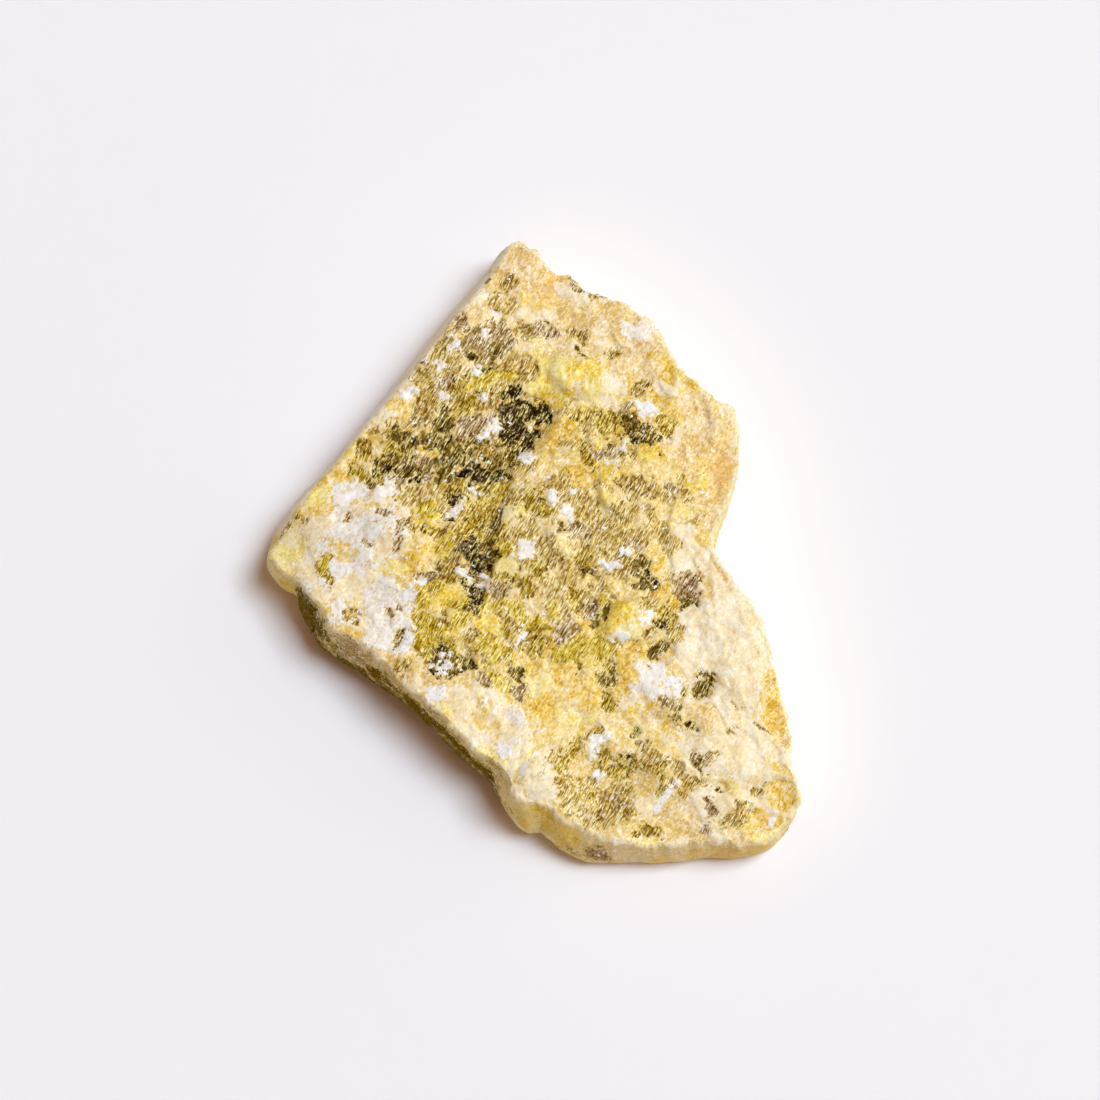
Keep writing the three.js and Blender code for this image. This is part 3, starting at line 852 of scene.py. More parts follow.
    Patch(-1.7, -4.0, 0.6, 0.6, 0, Tint.GREY),
    Patch(-7.1, -5.1, 0.7, 0.5, 30, Tint.GREEN),
    Patch(-4.9, -4.9, 0.7, 0.5, 20, Tint.GREEN),
    Patch(-6.0, -6.5, 0.9, 0.5, 20, Tint.GREEN),
    Patch(-5.6, -5.9, 0.3, 0.5, 0, Tint.OLIVE),
    Patch(-2.6, -6.1, 0.9, 0.8, 40, Tint.LEMON),
    Patch(-1.7, -8.2, 0.8, 0.9, 40, Tint.GREEN),
    Patch(-2.7, -7.4, 0.5, 0.6, 40, Tint.GREEN),
    Patch(-8.4, -7.1, 0.2, 0.6, -20, Tint.SMOKY),
    Patch(-8.0, -7.5, 0.5, 0.6, -20, Tint.WHITE),
    Patch(-5.4, -8.5, 1.3, 0.9, -15, Tint.SMOKY),
    Patch(-5.5, -7.8, 0.7, 0.3, -20, Tint.DEEP),
    Patch(-5.2, -8.1, 0.4, 0.2, 20, Tint.WHITE),
    Patch(-6.3, -8.7, 0.3, 0.3, 0, Tint.WHITE),
    Patch(-5.6, -9.2, 0.5, 0.2, 10, Tint.WHITE),
    Patch(-3.8, -8.8, 0.6, 0.5, -40, Tint.DEEP),
    Patch(-6.0, -9.4, 0.5, 0.3, -30, Tint.DEEP),
    Patch(-8.3, -9.0, 0.5, 0.7, 0, Tint.BROWN),
    Patch(-6.1, -10.8, 0.8, 0.3, 25, Tint.WHITE),
    Patch(-2.8, -10.1, 0.5, 0.6, 0, Tint.GREY),
    Patch(-0.5, -10.7, 0.5, 0.6, 0, Tint.GREY),
    Patch(-1.0, -13.9, 1.1, 1.0, 40, Tint.CREAM),
    Patch(-0.6, -12.4, 0.7, 0.6, 0, Tint.MILKY),
    Patch(-1.6, -14.4, 0.6, 0.5, 30, Tint.WHITE),
    Patch(-3.0, -11.6, 0.4, 0.2, 50, Tint.WHITE),
    Patch(-0.4, -15.9, 0.3, 0.2, 20, Tint.WHITE),
    Patch(2.8, -14.7, 1.1, 0.2, 62, Tint.OLIVE),
    Patch(2.1, -15.8, 0.3, 0.4, 0, Tint.OLIVE),
    Patch(4.9, -13.6, 0.9, 0.3, 22, Tint.WHITE),
    Patch(4.3, -14.7, 0.9, 0.1, 82, Tint.WHITE),
    # the pale plateau and the ledge on the right
    Patch(8.6, -9.5, 1.1, 0.5, -10, Tint.MILKY),
    Patch(7.7, -10.4, 1.1, 0.5, -10, Tint.MILKY),
    Patch(11.5, -10.2, 0.7, 0.5, 40, Tint.SMOKY),
    Patch(12.0, -9.4, 0.3, 0.3, 60, Tint.SMOKY),
    Patch(13.8, -11.6, 0.4, 0.1, -60, Tint.BROWN),
    Patch(13.5, -13.2, 0.5, 0.1, -20, Tint.BROWN),
    Patch(16.3, -11.6, 0.6, 2.0, 8, Tint.HONEY),
    Patch(16.2, -9.9, 0.4, 0.8, 0, Tint.HONEY),
    Patch(15.4, -13.0, 0.8, 0.1, -40, Tint.BROWN),
    Patch(12.7, -1.9, 0.1, 1.1, 30, Tint.ORANGE),
    Patch(11.2, -8.0, 1.3, 1.3, 0, Tint.CREAM),
    Patch(8.1, -12.3, 0.9, 0.5, 0, Tint.TAN),
    Patch(5.9, -12.4, 1.5, 0.7, 0, Tint.STRAW),
    Patch(7.5, -12.8, 1.0, 0.5, 0, Tint.PRIMROSE),
    Patch(9.4, -11.6, 0.9, 0.5, -20, Tint.GREY),
    Patch(10.1, -11.4, 0.2, 0.9, -15, Tint.SMOKY),
    Patch(10.6, -12.8, 0.6, 0.2, -28, Tint.SMOKY),
    # the thin lower end
    Patch(7.6, -13.9, 0.5, 0.3, -40, Tint.GREY),
    Patch(7.0, -13.2, 0.3, 0.3, 0, Tint.SMOKY),
    Patch(6.6, -14.8, 0.6, 0.1, -35, Tint.SMOKY),
    Patch(7.7, -16.3, 0.8, 0.7, 30, Tint.TAN),
    Patch(8.9, -15.9, 0.3, 0.6, 30, Tint.OLIVE),
    Patch(5.5, -15.7, 1.1, 0.5, 0, Tint.OLIVE),
    Patch(5.8, -17.7, 1.1, 0.8, 0, Tint.GREY),
    Patch(5.3, -18.0, 0.5, 0.5, 40, Tint.GOLD),
    Patch(6.6, -18.4, 0.5, 0.4, 30, Tint.BROWN),
    Patch(6.5, -17.2, 0.4, 0.5, 0, Tint.GOLD),
    Patch(9.0, -10.7, 1.1, 0.6, 20, Tint.MILKY),
    Patch(-14.1, -5.2, 1.2, 0.5, -50, Tint.PRIMROSE),
    Patch(5.8, 10.3, 0.9, 0.6, -20, Tint.CREAM),
    Patch(9.6, -10.0, 0.6, 0.5, 30, Tint.WHITE),
    Patch(5.7, -10.3, 0.9, 0.7, 40, Tint.HONEY),
    Patch(9.2, -17.1, 0.5, 0.6, 30, Tint.OLIVE),
    Patch(9.2, -17.4, 1.0, 0.2, 56, Tint.WHITE),
    Patch(4.9, -16.1, 0.3, 0.3, 0, Tint.WHITE),
    Patch(11.6, -15.1, 0.7, 0.6, 0, Tint.MAUVE),
    Patch(11.5, -15.1, 0.4, 0.3, 40, Tint.SMOKY),
    Patch(11.9, -14.9, 0.5, 0.5, 0, Tint.GREY),
    Patch(11.5, -15.9, 0.1, 0.4, 30, Tint.SMOKY),
    Patch(10.0, -15.9, 0.7, 0.4, 60, Tint.BROWN),
    Patch(10.7, -16.7, 0.9, 0.6, 20, Tint.GOLD),
    Patch(10.0, -18.2, 0.9, 0.7, 30, Tint.TAN),
    Patch(12.6, -16.9, 0.3, 0.2, 0, Tint.DEEP),
    Patch(15.1, -17.1, 0.9, 0.3, 20, Tint.BROWN),
    Patch(13.8, -18.7, 1.2, 0.5, 42, Tint.BROWN),
    Patch(16.8, -17.3, 0.9, 0.9, 0, Tint.HONEY),
    Patch(15.9, -18.7, 0.5, 0.2, 62, Tint.WHITE),
    Patch(15.6, -19.8, 1.1, 0.5, 20, Tint.PRIMROSE),
    Patch(11.6, -19.5, 0.5, 0.5, 0, Tint.MAUVE),
    Patch(12.0, -18.2, 0.4, 0.5, 0, Tint.MAUVE),
    Patch(0.9, -17.2, 1.2, 0.7, 15, Tint.CREAM),
    Patch(1.8, -16.1, 0.8, 0.5, 0, Tint.CREAM),
    Patch(7.9, -19.7, 0.8, 0.5, 0, Tint.OLIVE),
    Patch(4.5, -18.8, 0.6, 0.7, 0, Tint.BROWN),
)


# ---------------------------------------------------------------- the stone


@dataclass
class Slab:
    """The loose slab of chrysoberyl: one closed mesh, its tints and its finish."""

    # the name of the mesh's record of what is side and what is top
    SIDE: ClassVar[str] = "side"

    name: str = "chrysoberyl_slab"
    # how finely the faces are divided; a ring of index k has 6k points
    top_rings: int = 148
    underside_rings: int = 56
    wall_bands: int = 24
    # in how many places the rim's curve is measured for its length
    rim_divisions: int = 201
    # the point that the rings of the top and of the underside close on
    hub: tuple[float, float] = (1.9, -2.5)
    undercut: float = 0.7
    # how far the rim is worn down, and how far out the top starts to round off towards it
    rim_rounding: float = 0.2
    lean_start: float = 0.982
    # how deeply small grains have broken off the rim, and what the middle and the fine ones add to it
    rim_chips: float = 0.4
    chip_weights: tuple[float, float] = (0.6, 0.4)
    coarse_grains: Grains = Grains(2.4, 0.2, 0.3, 0.16)
    middle_grains: Grains = Grains(0.95, 0.05, 0.08, 0.05)
    fine_grains: Grains = Grains(0.46, 0.02, 0.1, 0.03)
    # the share of the coarse relief that is left where small grains have broken away
    coarse_share: float = 0.22
    # how far a lump's outline wanders with the grains, as a share of its size
    ledge_jitter: float = 0.06
    # the share of the grain relief that the wall keeps, and that the long cleaved side keeps, with the way
    # that side looks, and how closely a stretch has to look that way to start and to finish being cleaved
    wall_relief: float = 0.6
    cleavage_relief: float = 0.25
    cleavage_out: tuple[float, float] = (-0.785, 0.62)
    cleavage_match: tuple[float, float] = (0.85, 0.97)
    # the underside: the flat it rests on, the band that blends into the rest, its chips, the lift of its
    # edge, and the share of the small chips that the flat has
    rest_radius: float = 4.6
    rest_blend: float = 2.0
    chip_start: float = 0.03
    edge_lift: float = 0.3
    flat_chips: float = 0.25
    # how far a tint's outline wanders with the grains, and how wide its step in height is
    tint_wander: float = 0.3
    tint_step: float = 0.2
    # how far from its outline a tint still knows its distance
    tint_reach: float = 2.0
    # what the block and the grain add to the draw of a tint between the patches, and how far draws spread
    draw_weights: tuple[float, float] = (0.66, 0.34)
    draw_spread: float = 1.3
    # how much crisper a patch's outline is than that of the grains between the patches
    patch_crispness: float = 2.2
    # over how many edges of the mesh the grains' tints run into each other
    soft_rounds: int = 18
    # how wide the painted highlight along the rim is: a pale cream band that stands in for the light the
    # crest catches
    rim_highlight: float = 0.14
    # how far down the wall the top's patches reach
    patch_depth: float = 0.8
    # the depths below the rim between which the top's look turns into the side's
    side_depths: tuple[float, float] = (0.1, 0.8)

    def _rim_curve(self, shares: np.ndarray) -> np.ndarray:
        """Points of the closed centripetal curve through the rim's stations.

        Args:
            shares: how far along the stations each point is, from 0 to 1.

        Returns:
            x, y and reach for each share.
        """
        stations = np.array(RIM, float)
        count = len(stations)
        place = shares * count
        index = np.floor(place).astype(int)
        weight = (place - index)[:, None]
        before, start, end, after = (stations[(index + step) % count] for step in (-1, 0, 1, 2))
        gap_before = (np.linalg.norm(start - before, axis=1) ** 0.5)[:, None]
        gap = (np.linalg.norm(end - start, axis=1) ** 0.5)[:, None]
        gap_after = (np.linalg.norm(after - end, axis=1) ** 0.5)[:, None]
        leave = (start - before) / gap_before - (end - before) / (gap_before + gap) + (end - start) / gap
        arrive = (end - start) / gap - (after - start) / (gap + gap_after) + (after - end) / gap_after
        leave *= gap
        arrive *= gap
        square = -3 * start + 3 * end - 2 * leave - arrive
        cube = 2 * start - 2 * end + leave + arrive
        return start + leave * weight + square * weight ** 2 + cube * weight ** 3

    def rim_at(self, count: int) -> dict[str, np.ndarray]:
        """The rim at evenly spaced places.

        Args:
            count: how many places.

        Returns:
            point and out (x, y each), reach of the foot, the share of the grain relief kept, and how deeply
            the rim is chipped.
        """
        divisions = np.linspace(0, 1, self.rim_divisions)
        steps = np.diff(self._rim_curve(divisions), axis=0)
        lengths = np.concatenate([[0], np.cumsum(np.linalg.norm(steps, axis=1))])
        shares = np.interp(np.arange(count) / count * lengths[-1], lengths, divisions)
        found = self._rim_curve(shares)
        nearly = 1e-4
        ahead = self._rim_curve(np.minimum(shares + nearly, 1))
        behind = self._rim_curve(np.maximum(shares - nearly, 0))
        tangent = (ahead - behind)[:, :2]
        out = np.stack([tangent[:, 1], -tangent[:, 0]], axis=1)
        out /= np.linalg.norm(out, axis=1)[:, None]
        cleaved = smoothstep(out @ np.array(self.cleavage_out), *self.cleavage_match)
        relief = self.wall_relief + (self.cleavage_relief - self.wall_relief) * cleaved
        places = np.column_stack([found[:, :2], np.zeros(count)])
        middle_weight, fine_weight = self.chip_weights
        chip = -0.5 + middle_weight * cell_number(self.middle_grains.nearest(places), Draw.CHIP)
        chip += fine_weight * cell_number(self.fine_grains.nearest(places), Draw.CHIP)
        chip *= self.rim_chips * (relief / self.wall_relief) ** 2
        return {"point": found[:, :2], "out": out, "reach": found[:, 2:], "relief": relief,
                "chip": chip[:, None]}

    def thickness(self, x: np.ndarray, y: np.ndarray) -> np.ndarray:
        """Thickness of the slab: every known thickness counts by how near it is.

        Args:
            x: places along X.
            y: places along Y.

        Returns:
            Thicknesses in millimetres.
        """
        total = np.zeros_like(x)
        weights = np.zeros_like(x)
        for mark_x, mark_y, height in THICKNESS:
            weight = 1 / (1 + (x - mark_x) ** 2 + (y - mark_y) ** 2) ** 1.5
            total += weight * height
            weights += weight
        return total / weights

    def top_height(self, x: np.ndarray, y: np.ndarray) -> np.ndarray:
        """Height of the top before the grains: the thickness with every lump, ledge and pit.

        Args:
            x: places along X.
            y: places along Y.

        Returns:
            Heights in millimetres.
        """
        height = self.thickness(x, y)
        grain = self.middle_grains.nearest(np.stack([x, y, np.zeros_like(x)], axis=1))
        jitter = self.ledge_jitter * (2 * cell_number(grain, Draw.LEDGE) - 1)
        for lump in LUMPS:
            height += lump.height(x, y, jitter)
        return height

    def underside_height(self, x: np.ndarray, y: np.ndarray, share: float) -> np.ndarray:
        """Height of the underside, which is chipped all over but for the flat it rests on.

        Args:
            x: places along X.
            y: places along Y.
            share: how far out from the hub the places are.

        Returns:
            Heights in millimetres.
        """
        places = np.stack([x, y, np.zeros_like(x)], axis=1)
        chips = np.maximum(0, self.coarse_grains.relief(places) - self.chip_start)
        edge = self.edge_lift * smoothstep(np.array(share), 0.8, 1)
        away = smoothstep(np.hypot(x, y), self.rest_radius, self.rest_radius + self.rest_blend)
        small = np.maximum(0, self.middle_grains.relief(places))
        small += np.maximum(0, self.fine_grains.relief(places))
        return (chips + edge) * away + small * (self.flat_chips + (1 - self.flat_chips) * away)

    def relief(self, points: np.ndarray) -> np.ndarray:
        """Height of all three sizes of grains at each point."""
        small = self.middle_grains.relief(points) + self.fine_grains.relief(points)
        return self.coarse_share * self.coarse_grains.relief(points) + small

    def top_loop(self, count: int, share: float) -> np.ndarray:
        """A ring of the top. At the rim its grains stand outwards.

        Args:
            count: how many points.
            share: how far out from the hub the ring is.

        Returns:
            The ring's points.
        """
        rim = self.rim_at(count)
        lean = float(smoothstep(np.array(share), self.lean_start, 1))
        plan = np.array(self.hub) + (rim["point"] - np.array(self.hub)) * share
        plan -= rim["out"] * rim["chip"] * lean
        height = self.top_height(plan[:, 0], plan[:, 1]) - self.rim_rounding * lean ** 2
        surface = np.column_stack([plan, height])
        stand = np.column_stack([rim["out"] * lean, np.ones(count)])
        stand /= np.linalg.norm(stand, axis=1)[:, None]
        kept = 1 + (rim["relief"] - 1) * lean
        return surface + stand * (self.relief(surface) * kept)[:, None]

    def wall_loop(self, count: int, row: float) -> np.ndarray:
        """A loop round the wall. Its grains stand straight out.

        Args:
            count: how many points.
            row: the place in WALL, which may lie between two rows.

        Returns:
            The loop's points.
        """
        rim = self.rim_at(count)
        height_share, reach_share, undercut_share = (
            np.interp(row, np.arange(len(WALL)), column) for column in np.array(WALL).T
        )
        reach = rim["reach"] * reach_share - self.undercut * undercut_share
        # the rim's chips fade out down the wall
        reach -= rim["chip"] * height_share ** 4
        foot = rim["point"] + rim["out"] * reach
        edge = self.underside_edge(rim)
        top = self.top_height(rim["point"][:, 0], rim["point"][:, 1]) - self.rim_rounding
        bottom = self.underside_height(edge[:, 0], edge[:, 1], 1.0)
        surface = np.column_stack([foot, bottom + (top - bottom) * height_share])
        stand = np.column_stack([rim["out"], np.zeros(count)])
        return surface + stand * (self.relief(surface) * rim["relief"])[:, None]

    def underside_edge(self, rim: dict[str, np.ndarray]) -> np.ndarray:
        """The underside's edge below the rim: the foot, drawn in by the undercut."""
        return rim["point"] + rim["out"] * (rim["reach"] * WALL[-1][1] - self.undercut)

    def underside_loop(self, count: int, share: float) -> np.ndarray:
        """A ring of the underside.

        Args:
            count: how many points.
            share: how far out from the hub the ring is.

        Returns:
            The ring's points.
        """
        edge = self.underside_edge(self.rim_at(count))
        plan = np.array(self.hub) + (edge - np.array(self.hub)) * share
        return np.column_stack([plan, self.underside_height(plan[:, 0], plan[:, 1], share)])

    @staticmethod
    def stitch(inner: tuple[int, int], outer: tuple[int, int]) -> list[tuple[int, int, int]]:
        """Triangles between two neighbouring loops, which may have different numbers of points.

        Args:
            inner: the first point's index and the number of points of one loop.
            outer: the same of the next loop.

        Returns:
            Triangles as point indices. A loop that is one point gives none without an area.
        """
        (inner_first, inner_count), (outer_first, outer_count) = inner, outer
        triangles = []
        i = 0
        j = 0
        while i < inner_count or j < outer_count:
            corners = (inner_first + i % inner_count, outer_first + j % outer_count)
            if (j + 1) * inner_count <= (i + 1) * outer_count:
                j += 1
                corners += (outer_first + j % outer_count,)
            else:
                i += 1
                corners += (inner_first + i % inner_count,)
            if len(set(corners)) == 3:
                triangles.append(corners)
        return triangles

    def build(self) -> tuple[np.ndarray, list[tuple[int, int, int]], np.ndarray, np.ndarray]:
        """Make every loop, from the top's hub over the rim and down to the underside's hub.

        Returns:
            Points in millimetres, triangles, each point's depth below the rim, which is 0 on the top, and
            its share of the way from the hub to the rim.
        """
        rows = np.linspace(0, len(WALL) - 1, self.wall_bands + 1)[1:]
        rim_count = 6 * self.top_rings
        loops = [self.top_loop(1, 0.0)]
        loops += [self.top_loop(6 * ring, ring / self.top_rings) for ring in range(1, self.top_rings + 1)]
        top_count = sum(len(loop) for loop in loops)
        loops += [self.wall_loop(rim_count, row) for row in rows]
        for ring in range(self.underside_rings, 0, -1):
            loops.append(self.underside_loop(6 * ring, ring / (self.underside_rings + 1)))
        loops.append(self.underside_loop(1, 0.0))
        triangles = []
        first = 0
        for loop, following in zip(loops, loops[1:]):
            inner = (first, len(loop))
            first += len(loop)
            triangles += self.stitch(inner, (first, len(following)))
        points = np.concatenate(loops)
        depth = np.zeros(len(points))
        side = points[top_count:]
        depth[top_count:] = self.thickness(side[:, 0], side[:, 1]) - side[:, 2]
        shares = np.ones(len(points))
        rings = np.arange(1, self.top_rings + 1)
        shares[:top_count] = np.concatenate([[0], np.repeat(rings / self.top_rings, 6 * rings)])
        return points, triangles, depth, shares

    def tints(self, points: np.ndarray, triangles: list[tuple[int, int, int]], depth: np.ndarray,
              shares: np.ndarray) -> dict[Tint, np.ndarray]:
        """Where each tint is.

        Args:
            points: the mesh's points in millimetres.
            triangles: the mesh's triangles.
            depth: each point's depth below the rim.
            shares: each point's share of the way from the hub to the rim.

        Returns:
            For each tint the distance in from its outline, negative outside.
        """
        fields = self._mixture(points, depth)
        self._soften(fields, triangles)
        grain = self.middle_grains.nearest(points)
        crumb = self.fine_grains.nearest(points)
        wanders = [2 * cell_number(grain, draw) + cell_number(crumb, draw) - 1.5
                   for draw in (Draw.PATCH_X, Draw.PATCH_Y)]
        x, y = (points[:, axis] + self.tint_wander * wander for axis, wander in enumerate(wanders))
        from_rim = np.hypot(*(points[:, :2] - np.array(self.hub)).T) * (1 - shares)
        # painted highlight: a pale cream band along the rim
        wander = self.rim_highlight * (cell_number(grain, Draw.RIM_HIGHLIGHT) + cell_number(crumb, Draw.RIM_HIGHLIGHT))
        self._lay(fields, Tint.CREAM, wander - from_rim - depth / self.patch_depth)
        for patch in sorted(PATCHES, key=lambda each: -each.half_length * each.half_width):
            inside = patch.inside(x, y) - depth / self.patch_depth
            self._lay(fields, patch.tint, self.patch_crispness * inside)
        return fields

    @staticmethod
    def _lay(fields: dict[Tint, np.ndarray], tint: Tint, inside: np.ndarray) -> None:
        """Lay one tint over the others.

        Args:
            fields: the distances in from each tint's outline, which are changed.
            tint: the tint to lay.
            inside: the distance in from its outline.
        """
        for other, field in fields.items():
            if other is tint:
                np.maximum(field, inside, out=field)
            else:
                np.minimum(field, -inside, out=field)

    def _mixture(self, points: np.ndarray, depth: np.ndarray) -> dict[Tint, np.ndarray]:
        """The tints between the patches: each grain draws one from the mixture of its zone.

        Args:
            points: the mesh's points in millimetres.
            depth: each point's depth below the rim.

        Returns:
            For each tint 0.5 where it is and -0.5 elsewhere.
        """
        grain = self.middle_grains.nearest(points)
        block = self.coarse_grains.nearest(points)
        block_weight, grain_weight = self.draw_weights
        draw = block_weight * cell_number(block, Draw.BLOCK_TINT)
        draw += grain_weight * cell_number(grain, Draw.GRAIN_TINT)
        draw = np.clip((draw - 0.5) * self.draw_spread + 0.5, 0, 0.999)
        x = points[:, 0] + 2 * self.tint_wander * (2 * cell_number(grain, Draw.ZONE_X) - 1)
        y = points[:, 1] + 2 * self.tint_wander * (2 * cell_number(grain, Draw.ZONE_Y) - 1)
        z = depth + self.tint_wander * (2 * cell_number(grain, Draw.ZONE_DEPTH) - 1) * (depth > 0)
        zone_of = np.zeros(len(points), int)
        for index, zone in enumerate(ZONES):
            zone_of[zone.holds(x, y, z)] = index
        fields = {tint: np.full(len(points), -0.5) for tint in Tint}
        for index, zone in enumerate(ZONES):
            bounds = np.cumsum([0] + [share for _, share in zone.mixture])
            bounds[-1] = 1
            for (tint, _), low, high in zip(zone.mixture, bounds, bounds[1:]):
                fields[tint][(zone_of == index) & (draw >= low) & (draw < high)] = 0.5
        return fields

    def _soften(self, fields: dict[Tint, np.ndarray], triangles: list[tuple[int, int, int]]) -> None:
        """Let each tint run into its neighbours, as light does in the mineral.

        Args:
            fields: the distances in from each tint's outline, which are changed.
            triangles: the mesh's triangles, whose edges join neighbouring points.
        """
        corners = np.array(triangles)
        starts = corners.ravel()
        ends = np.roll(corners, -1, axis=1).ravel()
        for field in fields.values():
            near = np.bincount(starts, minlength=len(field)) + np.bincount(ends, minlength=len(field))
            for _ in range(self.soft_rounds):
                total = np.bincount(starts, field[ends], len(field))
                total += np.bincount(ends, field[starts], len(field))
                field += (total / near - field) / 2

    def make(self, finish: "BrokenCrystal") -> bpy.types.Object:
        """Build the mesh, write its tints and dress it.

        Args:
            finish: the finish of the whole stone.

        Returns:
            The stone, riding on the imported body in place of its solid.
        """
        points, triangles, depth, shares = self.build()
        fields = self.tints(points, triangles, depth, shares)
        for tint, field in fields.items():
            step = smoothstep(field, -self.tint_step / 2, self.tint_step / 2)
            points[:, 2] += SHADES[tint].lift * step * (depth < self.patch_depth)
        low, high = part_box("stone")
        solid_middle = np.array((low + high) / 2) / MM
        own_middle = (points.min(axis=0) + points.max(axis=0)) / 2
        points[:, :2] += (solid_middle - own_middle)[:2]
        points[:, 2] = np.maximum(points[:, 2], 0)
        mesh = bpy.data.meshes.new(self.name)
        mesh.from_pydata((points * MM).tolist(), [], triangles)
        for tint, field in fields.items():
            attribute = mesh.attributes.new(tint.value, "FLOAT", "POINT")
            known = np.clip(field, -self.tint_reach, self.tint_reach)
            attribute.data.foreach_set("value", known.astype(np.float32))
        side = mesh.attributes.new(self.SIDE, "FLOAT", "POINT")
        side.data.foreach_set("value", smoothstep(depth, *self.side_depths).astype(np.float32))
        mesh.polygons.foreach_set("use_smooth", [True] * len(mesh.polygons))
        mesh.materials.append(finish.make())
        mesh.update()
        stone = bpy.data.objects.new(self.name, mesh)
        bpy.context.scene.collection.objects.link(stone)
        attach(stone, "root")
        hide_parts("stone")
        return stone


@dataclass(frozen=True)
class BrokenCrystal:
    """Chrysoberyl as it breaks: glassy grains crossed by fine parallel flakes, which glint one by one
    through their facets and through painted glints.
    """

    name: str = "Chrysoberyl, broken and cleaved"
    # the mineral's refractive index
    ior: float = 1.745
    # broken faces reflect less than polished ones do
    gloss: float = 0.22
    gloss_tint: str = "#ffdf9e"
    # light that enters the mineral and leaves it nearby: its share, and how many millimetres red, green and
    # blue go
    glow: float = 0.3
    glow_radius: tuple[float, float, float] = (1.0, 0.8, 0.45)
    # the way the needles run, in degrees from X, and the size of every kind of cell in millimetres
    needle_turn: float = 60.0
    needle_size: tuple[float, float, float] = (0.4, 0.06, 0.13)
    glint_size: tuple[float, float, float] = (0.16, 0.12, 0.13)
    grain_size: float = 0.42
    block_size: float = 1.1
    # how far the finest grains push a tint's outline about, in millimetres
    outline_jitter: float = 0.35
    outline_blur: float = 0.14
    # painted highlights: glints whose number is above this, out of 2, are white specks that stand in for
    # sparkle, and over how much they turn white
    painted_glint_start: float = 1.78
    painted_glint_blur: float = 0.12
    # the needles bend a little: the waves to a millimetre, and how far they bend in millimetres
    wave_scale: float = 0.5
    wave_bend: float = 0.4
    # the share of the shades' contrast that the sides keep, where the needles are seen from their ends
    side_contrast: float = 0.5
    # how far the facets of needles, glints and grains stand up, in millimetres
    bumps: tuple[float, float, float] = (0.03, 0.025, 0.06)

    def make(self) -> bpy.types.Material:
        """Build the material.

        Returns:
            The finished material.
        """
        material = bpy.data.materials.new(self.name)
        material.use_nodes = True
        tree = material.node_tree
        tree.nodes.clear()
        place = add_node(tree, "ShaderNodeTexCoord", {}, {})
        mm = add_node(tree, "ShaderNodeVectorMath", {"operation": "SCALE"},
                      {0: place.outputs["Object"], "Scale": 1 / MM})
        wave = add_node(tree, "ShaderNodeTexNoise", {"noise_dimensions": "3D"},
                        {"Vector": mm.outputs[0], "Scale": self.wave_scale, "Detail": 0.0})
        bent = add_node(tree, "ShaderNodeVectorMath", {"operation": "MULTIPLY_ADD"},
                        {0: wave.outputs["Color"], 1: (self.wave_bend,) * 3, 2: mm.outputs[0]})
        needles = self._cells(tree, bent.outputs[0], self.needle_size)
        glints = self._cells(tree, mm.outputs[0], self.glint_size)
        grains = self._cells(tree, mm.outputs[0], (self.grain_size,) * 3)
        blocks = self._cells(tree, mm.outputs[0], (self.block_size,) * 3)
        layers = (needles, glints, grains, blocks)
        side = add_node(tree, "ShaderNodeAttribute", {"attribute_name": Slab.SIDE}, {})
        contrast = add_node(tree, "ShaderNodeMapRange", {"clamp": True},
                            {"Value": side.outputs["Fac"], "To Min": 1.0, "To Max": self.side_contrast})
        shades = {habit: self._shade(tree, habit, layers, contrast.outputs["Result"])
                  for habit in (SUGARY, NEEDLED, GLASSY)}
        colour, roughness, facets = self._tints(tree, glints, grains, shades)
        height = self._height(tree, needles, glints, grains)
        bump = add_node(tree, "ShaderNodeBump", {}, {"Strength": facets, "Distance": MM, "Height": height})
        # the sides are splintered too finely to mirror the floor at a glance
        gloss = add_node(tree, "ShaderNodeMapRange", {"clamp": True},
                         {"Value": side.outputs["Fac"], "To Min": self.gloss, "To Max": 0.0})
        shader = add_node(tree, "ShaderNodeBsdfPrincipled", {},
                          {"Base Color": colour, "Roughness": roughness, "IOR": self.ior,
                           "Specular IOR Level": gloss.outputs["Result"],
                           "Specular Tint": linear(self.gloss_tint),
                           "Subsurface Weight": self.glow, "Subsurface Scale": MM,
                           "Subsurface Radius": self.glow_radius, "Normal": bump.outputs["Normal"]})
        add_node(tree, "ShaderNodeOutputMaterial", {}, {"Surface": shader.outputs["BSDF"]})
        return material

    def _cells(self, tree: bpy.types.NodeTree, place: bpy.types.NodeSocket,
               size: Sequence[float]) -> tuple[bpy.types.Node, bpy.types.Node]:
        """Cells of one size, turned to lie along the needles.

        Args:
            tree: the material's node tree.
            place: coordinates in millimetres.
            size: the cells' length, width and height in millimetres.

        Returns:
            The node that gives the cells' own coordinates, and the cells.
        """
        turned = add_node(tree, "ShaderNodeVectorRotate", {"rotation_type": "Z_AXIS"},
                          {"Vector": place, "Angle": -math.radians(self.needle_turn)})
        scaled = add_node(tree, "ShaderNodeVectorMath", {"operation": "DIVIDE"},
                          {0: turned.outputs[0], 1: tuple(size)})
        cells = add_node(tree, "ShaderNodeTexVoronoi", {"voronoi_dimensions": "3D", "feature": "F1"},
                         {"Vector": scaled.outputs[0], "Scale": 1.0, "Randomness": 1.0})
        return scaled, cells

